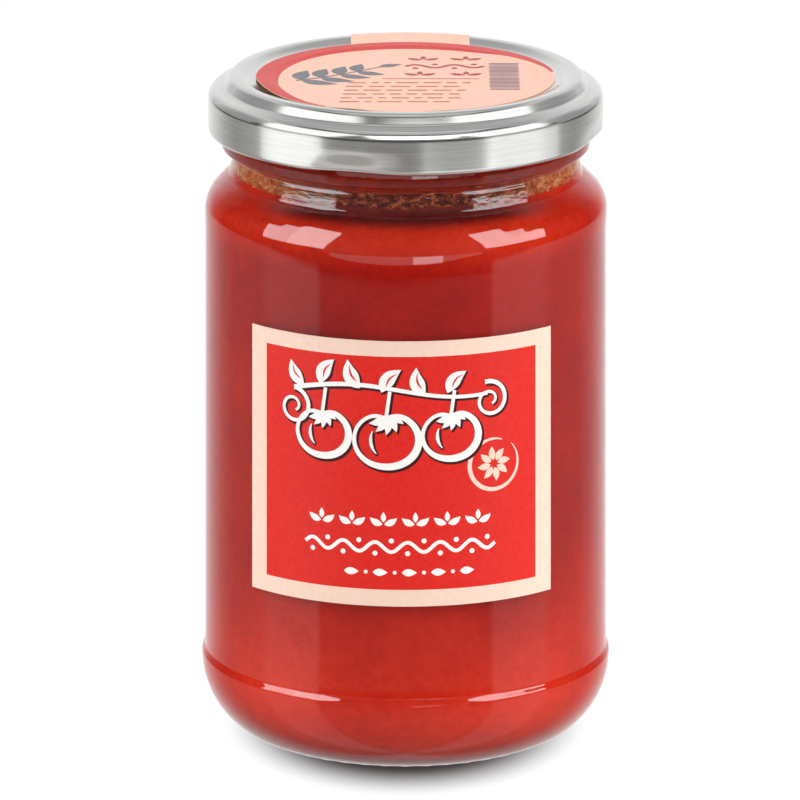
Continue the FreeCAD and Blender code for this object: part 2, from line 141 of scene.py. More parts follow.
def gridFaces(grid, closed):
    # quads between neighbouring rows and columns of a grid; closed joins the last column to the first
    rows, columns = grid.shape[:2]
    row, column = np.meshgrid(
        np.arange(rows - 1), np.arange(columns if closed else columns - 1), indexing="ij"
    )
    after = (column + 1) % columns
    corners = [row * columns + column, row * columns + after]
    corners += [(row + 1) * columns + after, (row + 1) * columns + column]
    return np.stack(corners, axis=2).reshape(-1, 4)


def meshPiece(name, grids, closed=True, attributes=None, weld=1e-6):
    # one mesh from several grids of points in millimetres; points that fall together are welded
    points = np.concatenate([grid.reshape(-1, 3) for grid in grids]) * mm
    starts = np.cumsum([0] + [grid.shape[0] * grid.shape[1] for grid in grids])
    faces = np.concatenate([gridFaces(grid, closed) + start for grid, start in zip(grids, starts)])
    mesh = bpy.data.meshes.new(name)
    mesh.vertices.add(len(points))
    mesh.vertices.foreach_set("co", points.ravel())
    mesh.loops.add(faces.size)
    mesh.loops.foreach_set("vertex_index", faces.ravel())
    mesh.polygons.add(len(faces))
    mesh.polygons.foreach_set("loop_start", np.arange(0, faces.size, 4))
    mesh.update(calc_edges=True)
    for label, values in (attributes or {}).items():
        mesh.attributes.new(label, "FLOAT", "POINT").data.foreach_set("value", values.ravel())
    if weld:
        shape = bmesh.new()
        shape.from_mesh(mesh)
        bmesh.ops.remove_doubles(shape, verts=shape.verts, dist=weld)
        shape.to_mesh(mesh)
        shape.free()
    mesh.polygons.foreach_set("use_smooth", np.ones(len(mesh.polygons), bool))
    mesh.update()
    piece = bpy.data.objects.new(name, mesh)
    bpy.context.scene.collection.objects.link(piece)
    return piece


def waves(x, y, size, count, seed):
    # an uneven surface between about -1 and 1: the mean of plane waves in chance directions
    draw = np.random.default_rng(seed)
    way, phase = draw.uniform(0, 2 * np.pi, (2, count))
    length = size * draw.uniform(0.7, 1.6, count)
    total = 0
    for turn, start, span in zip(way, phase, length):
        total = total + np.sin(2 * np.pi * (x * math.cos(turn) + y * math.sin(turn)) / span + start)
    return total / math.sqrt(count)


# Helpers for materials.

def colour(code):
    # an sRGB hex code as linear red, green, blue and alpha
    parts = [int(code[place:place + 2], 16) / 255 for place in (1, 3, 5)]
    return [p / 12.92 if p <= 0.04045 else ((p + 0.055) / 1.055) ** 2.4 for p in parts] + [1.0]


def newMaterial(name):
    material = bpy.data.materials.new(name)
    material.use_nodes = True
    material.node_tree.nodes.clear()
    return material


def addNode(owner, kind, inputs=None, **settings):
    # adds one node; an input, by name or number, gets a value, a socket or a node's first output
    tree = owner.node_tree
    node = tree.nodes.new("ShaderNode" + kind)
    for name, value in settings.items():
        setattr(node, name, value)
    for name, value in (inputs or {}).items():
        if isinstance(value, bpy.types.Node):
            value = next(output for output in value.outputs if output.enabled)
        if isinstance(value, bpy.types.NodeSocket):
            tree.links.new(value, node.inputs[name])
        else:
            node.inputs[name].default_value = value
    return node


def finish(material, shader):
    addNode(material, "OutputMaterial", {"Surface": shader})
    return material


def rampStops(node, stops):
    # sets a colour ramp's stops from pairs of place and sRGB hex
    ramp = node.color_ramp
    while len(ramp.elements) > len(stops):
        ramp.elements.remove(ramp.elements[-1])
    while len(ramp.elements) < len(stops):
        ramp.elements.new(1.0)
    for element, (place, code) in zip(ramp.elements, stops):
        element.position = place
        element.color = colour(code)
    return node


def dress(piece, body, materials, node=None):
    # gives a piece its materials and its body, and hides the CAD node it stands for
    for material in materials:
        piece.data.materials.append(material)
    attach(piece, body)
    if node:
        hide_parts(node)


# Camera, standing in front of the jar and a little above it.

cameraView = {
    "sensor": 36.0,
    "lens": 397.2,
    "distance": 1.5,  # metres from the point that it looks at
    "elevation": 15.6,
    "aimSide": -0.95,
    "aimHeight": 57.0,
}


def makeCamera(view):
    data = bpy.data.cameras.new("mainCamera")
    data.sensor_width = view["sensor"]
    data.lens = view["lens"]
    data.clip_end = 20
    camera = bpy.data.objects.new("mainCamera", data)
    bpy.context.scene.collection.objects.link(camera)
    aim = Vector((view["aimSide"] * mm, 0, view["aimHeight"] * mm))
    lift = math.radians(view["elevation"])
    back = Vector((0, -math.cos(lift), math.sin(lift)))
    camera.location = aim + back * view["distance"]
    camera.rotation_euler = (-back).to_track_quat("-Z", "Y").to_euler()
    bpy.context.scene.camera = camera


makeCamera(cameraView)
print("camera placed")


# Stage: floor, surroundings and lamps.

stage = {
    "floorRadius": 92.0, "floorRings": 24, "floorColumns": 96,
    "floorTone": "#DEDCDA",
    # painted shadow: the camera sees the floor far darker than the jar does, and the glow that whitens it
    # fades out in an oval round the jar, so a painted shadow lies over the real one there
    "floorShade": 0.09,  # how dark the camera sees the floor where no light from the sweep reaches it
    "glow": 0.95,  # for the camera only: the sweep's own white, which fades out beside the jar
    "glowStart": 0.0265, "glowFull": 0.0435, "glowNarrow": 1.38,  # metres; the fade is narrower across
    # even light from the room and from the white table, what is mirrored from overhead, and white
    "greys": {"above": 0.36, "below": 0.48, "overhead": 0.54, "white": 1.0},
    # What shiny surfaces see in front, by the sine of the elevation: a grey table, a dark gap and a
    # dim room above it.
    "front": [
        (-0.50, "#B9B5B0"), (-0.34, "#A09C98"), (-0.27, "#8A8684"), (-0.205, "#8A8684"),
        (-0.185, "#121212"), (-0.03, "#121212"), (0.05, "#8E8A86"), (0.5, "#74726F"), (1.0, "#505050"),
    ],
    # What they see at the sides and behind, by the cosine of the direction's bearing from the back,
    # from -0.7 to 1: the table, and the room above it.
    "table": [
        (-0.69, "#E6E4E2"), (-0.10, "#E6E4E2"), (0.04, "#BEBCBA"), (0.47, "#A8A6A4"),
        (0.66, "#C2C0BE"), (0.84, "#EAE8E6"), (1.0, "#FFFFFF"),
    ],
    "room": [(-0.69, "#303030"), (0.60, "#303030"), (0.78, "#8A8A8A"), (0.93, "#FFFFFF")],
    "backTop": 0.35,  # how far the backdrop dims as it rises
    # Spans of the sine of the elevation (front, rise, horizon, high, upper), of the bearing's cosine
    # (table, room, aside) and of the direction's Y (behind).
    "spans": {
        "front": (-0.5, 1.0), "table": (-0.7, 1.0), "room": (-0.7, 1.0), "rise": (0.35, 0.95),
        "horizon": (-0.17, -0.13), "high": (0.5, 0.8), "behind": (-0.05, 0.30),
        "aside": (-0.665, -0.605), "upper": (-0.05, 0.05),
    },
}

# Each lamp is a soft panel a metre from the jar: azimuth from the front towards +X, elevation, width
# and height in metres, radiance, and what sees it: the glass and the print, the lid alone, or matt
# surfaces; then, where they aren't 0, the degrees that it is turned in its plane and how far it stands
# across and up from there. Each softbox is three panels, because its upper outer corner is cut off.
lamps = {
    "softboxLeft": (-69, 24, 0.43, 0.656, 6.3, "glass", 3, 0.195, 0.038),
    "softboxLeftWing": (-69, 24, 0.33, 0.44, 5.0, "glass", 3, -0.185, -0.07),
    "softboxLeftCorner": (-69, 24, 0.17, 0.11, 5.0, "glass", 3, -0.105, 0.205),
    "softboxRight": (69, 24, 0.36, 0.615, 5.9, "glass", -3, -0.26, 0.032),
    "softboxRightWing": (69, 24, 0.38, 0.325, 5.6, "glass", -3, 0.11, -0.112),
    "softboxRightCorner": (69, 24, 0.18, 0.13, 4.8, "glass", -3, 0.01, 0.115),
    "frontPanel": (12, 0, 0.286, 0.093, 3.2, "glass"),
    "frontStrip": (0, 0, 1.86, 0.093, 0.8, "glass"),
    "lidPanel": (5, 35, 0.84, 0.60, 2.0, "lid"),
    "lidOverhead": (0, 84, 0.90, 0.60, 0.46, "lid"),
    "lidBoxLeft": (-66, 32, 0.90, 0.84, 1.2, "lid"),
    "lidBoxRight": (66, 32, 0.90, 0.84, 1.2, "lid"),
    "lidLowLeft": (-37, -18.5, 0.52, 0.25, 0.28, "lid"),
    "lidLowMiddle": (-4, -18.5, 0.60, 0.25, 0.19, "lid"),
    "lidLowRight": (31, -18.5, 0.76, 0.25, 0.62, "lid"),
    "lidSideLeft": (-71, -8, 0.76, 0.50, 0.55, "lid"),
    "lidSideRight": (73, -8, 0.98, 0.50, 0.42, "lid"),
    "lidFillLeft": (-122, 26, 0.90, 0.90, 0.30, "lid"),
    "lidFillRight": (122, 26, 0.90, 0.90, 0.30, "lid"),
    "sideLightLeft": (-68, 12, 0.80, 0.90, 2.9, "matt"),
    "sideLightRight": (68, 12, 0.80, 0.90, 3.7, "matt"),
    "topLight": (180, 72, 0.64, 0.64, 3.0, "matt"),
}


def makeFloor(sizes):
    # a round sheet: a disc of rings about the axis
    rings = line((sizes["floorRadius"], 0), (0, 0), sizes["floorRings"] - 1)
    floor = meshPiece("paleFloor", [turned(rings, sizes["floorColumns"])[:, ::-1]])
    material = newMaterial("matt white paper sweep")
    path = addNode(material, "LightPath")
    seen = addNode(
        material, "Math", {0: path.outputs["Is Camera Ray"], 1: path.outputs["Is Transmission Ray"]},
        operation="MAXIMUM",
    )
    # painted shadow: the camera's glow fades out in an oval round the jar, and its darker tone deepens the
    # shade there
    place = addNode(material, "TexCoord").outputs["Object"]
    narrowed = addNode(material, "Mapping", {"Vector": place, "Scale": (sizes["glowNarrow"], 1.0, 1.0)})
    reach = addNode(material, "VectorMath", {0: narrowed}, operation="LENGTH")
    spread = addNode(material, "MapRange", {
        "Value": reach, "From Min": sizes["glowStart"], "From Max": sizes["glowFull"],
        "To Min": 0.0, "To Max": sizes["glow"],
    }, interpolation_type="SMOOTHSTEP")
    glow = addNode(material, "Math", {0: seen, 1: spread}, operation="MULTIPLY")
    whole, shade = colour(sizes["floorTone"]), sizes["floorShade"]
    tone = addNode(material, "Mix", {0: seen, 6: whole, 7: (shade, shade, shade, 1)}, data_type="RGBA")
    sheet = addNode(material, "BsdfPrincipled", {
        "Base Color": tone, "Roughness": 0.9, "Specular IOR Level": 0.0,
        "Emission Color": (1, 1, 1, 1), "Emission Strength": glow,
    })
    floor.data.materials.append(finish(material, sheet))
    floor.visible_glossy = False  # shiny surfaces see the table of the world instead


def makeWorld(sizes):
    world = bpy.data.worlds.new("studio")
    world.use_nodes = True
    world.node_tree.nodes.clear()
    bpy.context.scene.world = world
    path = addNode(world, "LightPath").outputs
    way = addNode(world, "SeparateXYZ", {0: addNode(world, "TexCoord").outputs["Generated"]}).outputs
    flat = addNode(world, "CombineXYZ", {0: way["X"], 1: way["Y"]})
    level = addNode(world, "VectorMath", {0: flat}, operation="NORMALIZE")
    bearing = addNode(world, "SeparateXYZ", {0: level}).outputs["Y"]

    # shares: how far a part of the direction has gone through its span
    shares = {}
    for name, part, kind in (
        ("front", way["Z"], "LINEAR"), ("table", bearing, "LINEAR"), ("room", bearing, "LINEAR"),
        ("rise", way["Z"], "SMOOTHSTEP"), ("horizon", way["Z"], "SMOOTHSTEP"),
        ("high", way["Z"], "SMOOTHSTEP"), ("behind", way["Y"], "SMOOTHSTEP"),
        ("aside", bearing, "SMOOTHSTEP"), ("upper", way["Z"], "SMOOTHSTEP"),
    ):
        low, high = sizes["spans"][name]
        ends = {"To Min": 1.0, "To Max": sizes["backTop"]} if name == "rise" else {}
        shares[name] = addNode(
            world, "MapRange", {"Value": part, "From Min": low, "From Max": high, **ends},
            interpolation_type=kind,
        )
    shares["overhead"] = addNode(
        world, "Math", {0: shares["high"], 1: shares["behind"]}, operation="MULTIPLY"
    )
    shares["mirrored"] = path["Is Glossy Ray"]
    shares["white"] = addNode(
        world, "Math", {0: path["Is Camera Ray"], 1: path["Is Transmission Ray"]}, operation="MAXIMUM"
    )
    seen = {name: (grey, grey, grey, 1) for name, grey in sizes["greys"].items()}
    for name in ("front", "table", "room"):
        low, high = sizes["spans"][name]
        ramp = addNode(world, "ValToRGB", {0: shares[name]})
        seen[name] = rampStops(ramp, [((value - low) / (high - low), code) for value, code in sizes[name]])
    seen["backdrop"] = addNode(
        world, "VectorMath", {0: seen["room"], "Scale": shares["rise"]}, operation="SCALE"
    )
    # each mix goes from its first colour to its second by its share
    for name, share, first, second in (
        ("around", "horizon", "table", "backdrop"),
        ("beside", "aside", "front", "around"),
        ("reflection", "overhead", "beside", "overhead"),
        ("even", "upper", "below", "above"),
        ("lit", "mirrored", "even", "reflection"),
        ("whole", "white", "lit", "white"),
    ):
        seen[name] = addNode(
            world, "Mix", {0: shares[share], 6: seen[first], 7: seen[second]}, data_type="RGBA"
        )
    light = addNode(world, "Background", {"Color": seen["whole"], "Strength": 1.0})
    addNode(world, "OutputWorld", {"Surface": light})


def makeLamp(name, azimuth, elevation, width, height, radiance, seenBy, roll=0, across=0, up=0):
    # a panel's power is four times its radiance times its area
    data = bpy.data.lights.new(name, "AREA")
    data.shape = "RECTANGLE"
    data.size = width
    data.size_y = height
    data.energy = 4 * radiance * width * height
    lamp = bpy.data.objects.new(name, data)
    bpy.context.scene.collection.objects.link(lamp)
    turn, lift = math.radians(azimuth), math.radians(elevation)
    way = Vector((math.sin(turn) * math.cos(lift), -math.cos(turn) * math.cos(lift), math.sin(lift)))
    aim = Vector((0, 0, (cadLow.z + cadHigh.z) / 2))
    facing = (-way).to_track_quat("-Z", "Y") @ Quaternion((0, 0, 1), math.radians(roll))
    lamp.location = aim + way + facing @ Vector((across, up, 0))
    lamp.rotation_euler = facing.to_euler()
    lamp.visible_camera = False
    lamp.visible_glossy = seenBy != "matt"
    lamp.visible_transmission = seenBy == "glass"
    lamp.visible_diffuse = seenBy == "matt"
    if seenBy != "matt":
        lamp.light_linking.receiver_collection = lidOnly if seenBy == "lid" else allButLid


makeFloor(stage)
makeWorld(stage)
lidOnly = bpy.data.collections.new("lidOnly")  # what the lid's own panels light
allButLid = bpy.data.collections.new("allButLid")
for name, numbers in lamps.items():
    makeLamp(name, *numbers)
bpy.context.scene.view_settings.view_transform = "Standard"
print("stage and", len(lamps), "lamps made")


# Glass jar.

jar = {
    "columns": 432,
    "wall": 2.5,
    "heelRadius": min(-jarBox[0].x, jarBox[1].x) / mm,
    "upperArc": 14.4, "lowerArc": 8.6, "heelTurn": 46.3,
    "footWidth": 2.6, "pushUp": 2.6, "pushUpRim": 1.4, "pushUpWidth": 2.6,
    "heelLand": 0.5, "stepRise": 1.3,
    "panelFoot": 34.27, "panelTop": 33.83,
    "shoulderStep": 3.5, "shoulderRadius": 33.92,
    "shoulderStart": 90.86, "shoulderArc": 5.85, "shoulderTurn": 43.0, "shoulderEnd": 50.0,
    "shiftSide": 0.10,  # blown a little off centre: how far the shoulder stands over to one side
    "flattened": 0.60,  # and how far it is drawn in at the front
    "shiftStart": 86.5, "shiftEnd": 93.5, "shiftFade": 97.5,
    "neckRadius": 29.7, "neckFillet": 1.0, "neckLean": 13.0,
    "grooveStart": 99.8, "grooveDepth": 0.25, "grooveRise": 0.7,
    "ringRadius": 31.05, "ringRise": 1.7, "ringTop": 104.8, "ringTopRadius": 30.83,
    "finishRadius": 30.1, "finishRise": 1.2,
    "rimStart": 110.6, "rimRise": 1.3, "rimRadius": 29.4, "rimArc": 0.95,
    "rimTop": jarBox[1].z / mm,
    "floor": 4.2, "floorMiddle": 5.8, "innerHeelArc": 9.5,
    "gripCount": 48, "gripDepth": 0.26,  # small ridges round the foot, about 3.2 mm apart
    "gripTop": 3.0, "gripStart": (0.3, 1.3), "gripEnd": (2.2, 3.2),  # their height and reach from the foot
    # small level ripples in the neck: size, depth, where they start and where they nearly end
    "ripple": 2.6, "rippleDepth": 0.16, "rippleStart": (95.5, 97.5), "rippleEnd": (99.5, 101.0),
}


def heelSizes(sizes):
    turn = math.radians(sizes["heelTurn"])
    gap = sizes["upperArc"] - sizes["lowerArc"]
    footOuter = sizes["heelRadius"] - sizes["upperArc"] + gap * math.cos(turn)
    heelHeight = gap * math.sin(turn) + sizes["lowerArc"]
    return footOuter, heelHeight, heelHeight + sizes["heelLand"] + sizes["stepRise"]


def shoulderCurve(sizes, inset, lean=0):
    # three arcs from the straight wall to the neck, inset from the outside by a wall's thickness:
    # a small one at the edge, a long one up the slope and the hollow fillet at the neck's foot,
    # which ends upright or with a lean in degrees
    turn, end = math.radians(sizes["shoulderTurn"]), math.radians(sizes["shoulderEnd"])
    small, fillet = sizes["shoulderArc"], sizes["neckFillet"]
    fall = sizes["neckRadius"] + fillet - fillet * math.cos(end)
    reach = sizes["shoulderRadius"] - small + small * math.cos(turn)
    long = (reach - fall) / (math.cos(turn) - math.cos(end))
    smallMiddle = (sizes["shoulderRadius"] - small, sizes["shoulderStart"])
    longMiddle = (
        smallMiddle[0] + (small - long) * math.cos(turn),
        smallMiddle[1] + (small - long) * math.sin(turn),
    )
    neckStart = longMiddle[1] + long * math.sin(end) + fillet * math.sin(end)
    filletMiddle = (sizes["neckRadius"] + fillet, neckStart)
    outline = joined(
        arc(smallMiddle, small - inset, 0, sizes["shoulderTurn"], 12),
        arc(longMiddle, long - inset, sizes["shoulderTurn"], sizes["shoulderEnd"], 7),
        arc(filletMiddle, fillet + inset, 180 + sizes["shoulderEnd"], 180 + lean, 10),
    )
    return outline, neckStart


def outerWall(sizes):
    # the outside from the middle of the underside to the top of the rim
    footOuter, heelHeight, panelStart = heelSizes(sizes)
    footInner = footOuter - sizes["footWidth"]
    pushUpRadius = footInner - sizes["pushUpWidth"]
    shoulder = shoulderCurve(sizes, 0, sizes["neckLean"])[0]
    neckHeight = sizes["grooveStart"] - shoulder[-1][1]
    neckTop = shoulder[-1][0] - neckHeight * math.tan(math.radians(sizes["neckLean"]))
    groove = (neckTop - sizes["grooveDepth"], sizes["grooveStart"] + sizes["grooveRise"])
    ring = (sizes["ringRadius"], groove[1] + sizes["ringRise"])
    panelEnd = (sizes["panelTop"], sizes["shoulderStart"] - sizes["shoulderStep"])
    rimMiddle = (sizes["rimRadius"] - sizes["rimArc"], sizes["rimTop"] - sizes["rimArc"])
    return joined(
        cap((0, sizes["pushUp"]), (pushUpRadius, sizes["pushUpRim"])),
        cap((pushUpRadius, sizes["pushUpRim"]), (footInner, 0), 8),
        line((footInner, 0), (footOuter, 0), 3),
        arc((footOuter, sizes["lowerArc"]), sizes["lowerArc"], -90, -sizes["heelTurn"], 12),
        arc(
            (sizes["heelRadius"] - sizes["upperArc"], heelHeight), sizes["upperArc"],
            -sizes["heelTurn"], 0, 14,
        ),
        uprightBend((sizes["heelRadius"], heelHeight + sizes["heelLand"]), (sizes["panelFoot"], panelStart)),
        line((sizes["panelFoot"], panelStart), panelEnd, 12),
        uprightBend(panelEnd, (sizes["shoulderRadius"], sizes["shoulderStart"]), 12),
        shoulder,
        line(shoulder[-1], (neckTop, sizes["grooveStart"]), 2),
        uprightBend((neckTop, sizes["grooveStart"]), groove),
        uprightBend(groove, ring),
        line(ring, (sizes["ringTopRadius"], sizes["ringTop"]), 2),
        uprightBend(
            (sizes["ringTopRadius"], sizes["ringTop"]),
            (sizes["finishRadius"], sizes["ringTop"] + sizes["finishRise"]),
        ),
        uprightBend(
            (sizes["finishRadius"], sizes["rimStart"]),
            (sizes["rimRadius"], sizes["rimStart"] + sizes["rimRise"]),
        ),
        arc(rimMiddle, sizes["rimArc"], 0, 90, 8),
    )


def innerWall(sizes, inset):
    # the inside from the middle of the floor to the foot of the neck, inset from the outer surface
    panelStart = heelSizes(sizes)[2]
    reach = sizes["wall"] - inset
    footRadius = sizes["panelFoot"] - sizes["wall"]
    heel = sizes["innerHeelArc"]
    heelMiddle = (footRadius - heel, sizes["floor"] + heel)
    shoulder, neckStart = shoulderCurve(sizes, inset)
    return joined(
        cap((0, sizes["floorMiddle"] - reach), (heelMiddle[0], sizes["floor"] - reach), 10),
        arc(heelMiddle, heel + reach, -90, 0, 14),
        line(
            (footRadius + reach, heelMiddle[1]), (sizes["shoulderRadius"] - inset, sizes["shoulderStart"]), 8
        ),
        shoulder,
    ), neckStart


def makeJar(sizes):
    inside, neckStart = innerWall(sizes, sizes["wall"])
    bore = sizes["neckRadius"] - sizes["wall"]
    rimInner = arc((bore + sizes["rimArc"], sizes["rimTop"] - sizes["rimArc"]), sizes["rimArc"], 90, 180, 8)
    outline = joined(outerWall(sizes), rimInner, line((bore, neckStart), (bore, neckStart)), inside[::-1])
    points = turned(outline, sizes["columns"])
    # grips: the outer bend of the foot swells outwards in a rounded wave round the jar
    footOuter = heelSizes(sizes)[0]
    radius = outline[:, 0]
    low = (outline[:, 1] < sizes["gripTop"]) & (radius > footOuter)
    band = np.where(low, smooth(*sizes["gripStart"], radius - footOuter), 0)
    band = band * (1 - smooth(*sizes["gripEnd"], radius - footOuter))
    angle = fullTurn(sizes["columns"])
    swell = np.clip(np.cos(angle * sizes["gripCount"]), 0, 1) ** 0.7
    pushOut(points, angle, band[:, None] * swell * sizes["gripDepth"])
    # the outside of the shoulder stands over to one side, and its front edge eases in gently
    outside = np.arange(len(outline)) < np.argmax(outline[:, 1])
    over = smooth(sizes["shiftStart"], sizes["shiftEnd"], outline[:, 1])
    over = np.where(outside, over * (1 - smooth(sizes["shiftEnd"], sizes["shiftFade"], outline[:, 1])), 0)
    points[:, :, 0] += over[:, None] * sizes["shiftSide"]
    drawnIn = over[:, None] * sizes["flattened"] * np.clip(np.cos(angle), 0, 1) ** 1.5
    pushOut(points, angle, -drawnIn)
    return meshPiece("jarGlass", [points])


def flintGlass(sizes):
    # soda-lime flint glass, blown in a mould: clear, with sharp reflections that waver very slightly
    material = newMaterial("soda-lime flint glass")
    place = addNode(material, "TexCoord").outputs["Object"]
    drift = addNode(material, "TexNoise", {
        "Vector": place, "Scale": 1 / (14 * mm), "Detail": 1.0, "Roughness": 0.4,
    })
    bump = addNode(material, "Bump", {"Strength": 0.12, "Distance": 0.4 * mm, "Height": drift})
    # the neck, pressed before the body is blown, keeps small level ripples
    height = addNode(material, "SeparateXYZ", {0: place}).outputs["Z"]
    atNeck, belowRing = (
        addNode(material, "MapRange", {
            "Value": height, "From Min": low * mm, "From Max": high * mm, "To Min": start, "To Max": end,
        }, interpolation_type="SMOOTHSTEP")
        for (low, high), start, end in ((sizes["rippleStart"], 0.0, 0.42), (sizes["rippleEnd"], 1.0, 0.2))
    )
    strength = addNode(material, "Math", {0: atNeck, 1: belowRing}, operation="MULTIPLY")
    flat = addNode(material, "Mapping", {"Vector": place, "Scale": (1.0, 1.0, 2.6)})
    ripple = addNode(material, "TexNoise", {
        "Vector": flat, "Scale": 1 / (sizes["ripple"] * mm), "Detail": 3.0, "Roughness": 0.6,
    })
    uneven = addNode(material, "Bump", {
        "Strength": strength, "Distance": sizes["rippleDepth"] * mm, "Height": ripple,
        "Normal": bump,
    })
    glass = addNode(material, "BsdfPrincipled", {
        "Base Color": colour("#FBFDFC"), "Roughness": 0.0, "IOR": 1.52, "Transmission Weight": 1.0,
        "Normal": uneven,
    })
    path = addNode(material, "LightPath")
    straight = addNode(
        material, "Math", {0: path.outputs["Is Shadow Ray"], 1: path.outputs["Is Diffuse Ray"]},
        operation="MAXIMUM",
    )
    clear = addNode(material, "BsdfTransparent", {"Color": colour("#F4F8F6")})
    mixed = addNode(material, "MixShader", {0: straight, 1: glass, 2: clear})
    return finish(material, mixed)


jarGlass = makeJar(jar)
dress(jarGlass, "root", [flintGlass(jar)], "glass_jar")
print("glass jar made")


# Tomato sauce.

sauce = {
    "columns": 480,
    "reach": 0.2,  # how far the sauce reaches into the glass, so that no air shows between them
    "level": sauceBox[1].z / mm,
    "filmTop": 106.4,  # the smear on the glass climbs out of sight under the lid
    "frothTop": 100.35, "frothUneven": 0.55, "frothCircle": 27,  # its edge follows waves met on this circle
    "frothThick": 0.75, "filmThick": 0.12, "smearUneven": 0.35,
    "frothFade": (-1.6, 0.8),  # heights from the froth's top between which it thins to the film
    "footThick": 1.1, "footRise": 1.3,  # how much thicker the smear gets towards the level, and from where
    "smearRows": (40, 44), "meniscus": 0.35,  # rows up and down the smear; its foot above the level
    "lumps": 0.28,
    "lumpWaves": [(0.5, 6, 12, 11), (0.35, 2.2, 14, 12), (0.15, 0.9, 12, 13)],  # share, size, count, seed
    "surfaceRings": 50,
    # painted shade: the edge tones make a dark band under the sauce's rim, where little light reaches
    "edge": ["#3E0403", "#500603", "#620A04"],
    "shadeBandDepth": 3.4, "shadeBandFade": 1.8,  # the dark band under the sauce's rim
    "heelLitFade": (40.0, 4.0), "shoulderLitFade": (86.5, 92.5),  # heights between which the tones change
    # the painted light of the heel and shoulder and the painted shade under the rim hold fully only at the
    # front, and the froth's paler painted reflection shows only away from it
    "frontSpan": (-13, -25),  # the front of the jar, by Y, and what is left of some tones elsewhere
    "aside": {"shoulder": 0.55, "heel": 0.6, "edge": 0.0, "froth": 0.0},
    # painted light: the shoulder and heel tones are lighter than the body's, standing in for more light
    # reaching the sauce at the shoulder and light bounced up from the floor at the heel
    "shoulder": ["#B81A04", "#C82406", "#D42E0A"],
    "body": ["#920A03", "#A20E04", "#B01407"],
    "heel": ["#C8200C", "#D62A12", "#E03418"],
    "film": ["#640E03", "#801404", "#961D06"],
    "froth": ["#300904", "#601A0A", "#9A4C2A"],
    # painted reflection: paler froth tones for the sides, standing in for the lamps mirrored in the neck
    # there
    "reflectedSideFroth": ["#964427", "#B05C38", "#C48660"],
    "bubbles": 700,
    "bubbleLow": 97.1,
    "bubbleSize": (0.08, 0.34), "bubbleGrid": (6, 8),
    "bubbleDepth": 0.45, "bubbleHeight": 0.85,  # by half its width
}


def makeSauce(sizes, glass):
    wall, neckStart = innerWall(glass, glass["wall"] - sizes["reach"])
    bore = glass["neckRadius"] - glass["wall"]
    angle = fullTurn(sizes["columns"])
    against = turned(wall, sizes["columns"])
    # the smear climbs the neck between the glass and the air
    outer = bore + sizes["reach"]
    rowsUp, rowsDown = sizes["smearRows"]
    foot = sizes["level"] + sizes["meniscus"]
    smearOut = around(outer, angle, np.linspace(neckStart, sizes["filmTop"], rowsUp)[1:, None])
    # its inner face comes down again, thick where froth sits on it, and rounds into the surface
    down = np.linspace(sizes["filmTop"], foot, rowsDown)[:, None]
    low = 1 - smooth(*(sizes["frothTop"] + end for end in sizes["frothFade"]), down)
    thick = sizes["filmThick"] + (sizes["frothThick"] - sizes["filmThick"]) * low
    thick = thick * (1 + sizes["smearUneven"] * waves(angle * 12, down * 2, 3, 8, 5))
    thick = thick + sizes["footThick"] * (1 - smooth(foot, sizes["level"] + sizes["footRise"], down)) ** 2
    inner = bore - thick
    smearIn = around(inner, angle, down)
    # the free surface: lumps of pulp, fading into the smear at the wall
    share = np.linspace(1, 0, sizes["surfaceRings"])[1:, None] ** 0.9
    radius = share * inner[-1]
    x, y = radius * np.sin(angle), -radius * np.cos(angle)
    lumps = sum(part * waves(x, y, size, count, seed) for part, size, count, seed in sizes["lumpWaves"])
    rise = sizes["meniscus"] * smooth(0.8, 1.0, share) ** 2 + sizes["lumps"] * lumps * (1 - share ** 12)
    height = np.where(share == 0, sizes["level"], sizes["level"] + rise)
    top = np.stack([x, y, height], axis=2)
    grid = np.concatenate([against, smearOut, smearIn, top])
    free = np.zeros(grid.shape[:2])
    free[len(against):] = 1.0
    free[len(against) - 3:len(against)] = np.linspace(0.2, 1, 3)[:, None]
    wet = np.zeros(grid.shape[:2])
    wet[len(against) + len(smearOut) + 1:] = 1.0
    # froth: 1 up to an uneven edge on the neck
    circle = sizes["frothCircle"]
    uneven = waves(np.cos(angle) * circle, np.sin(angle) * circle, 7, 10, 3)
    edge = sizes["frothTop"] + sizes["frothUneven"] * uneven
    froth = free * (1 - smooth(-0.35, 0.35, grid[:, :, 2] - edge))
    return meshPiece("sauceFill", [grid], attributes={"free": free, "froth": froth, "wet": wet}, weld=1e-7)


def makeFroth(sizes, glass):
    # closed flattened bubbles pressed against the glass, thickest just above the sauce: each is an
    # ellipsoid, wide along the wall and thin across it
    draw = np.random.default_rng(21)
    count = sizes["bubbles"]
    small, large = sizes["bubbleSize"]
    size = small + (large - small) * draw.beta(1.1, 3.2, count)
    middle = draw.uniform(0, 2 * np.pi, count)
    climb = draw.beta(0.9, 1.9, count)
    height = sizes["bubbleLow"] + (sizes["frothTop"] - sizes["bubbleLow"]) * climb
    # painted reflection: the bubbles at the sides get paler tones, standing in for the lamps mirrored in the
    # neck there; the lowest ones are a little darker
    aside = smooth(25, 55, np.abs(np.degrees((middle + np.pi) % (2 * np.pi) - np.pi)))
    tone = np.clip(draw.beta(1.0, 1.1, count) - 0.25 * (climb < 0.3) + 0.5 * aside, 0, 1)
    reach = glass["neckRadius"] - glass["wall"] + sizes["reach"]
    depth = sizes["bubbleDepth"] * size
    tilt = np.linspace(0, np.pi, sizes["bubbleGrid"][0])[:, None, None]
    turn = fullTurn(sizes["bubbleGrid"][1])[None, :, None]
    along = middle + size * np.sin(tilt) * np.cos(turn) / reach
    up = height + size * sizes["bubbleHeight"] * np.sin(tilt) * np.sin(turn)
    out = reach - 0.25 * depth + depth * np.cos(tilt) + 0 * turn
    grids = list(np.moveaxis(around(out, along, up), 2, 0))
    tones = np.repeat(tone, math.prod(sizes["bubbleGrid"]))
    return meshPiece("sauceFroth", grids, attributes={"tone": tones}, weld=1e-7)


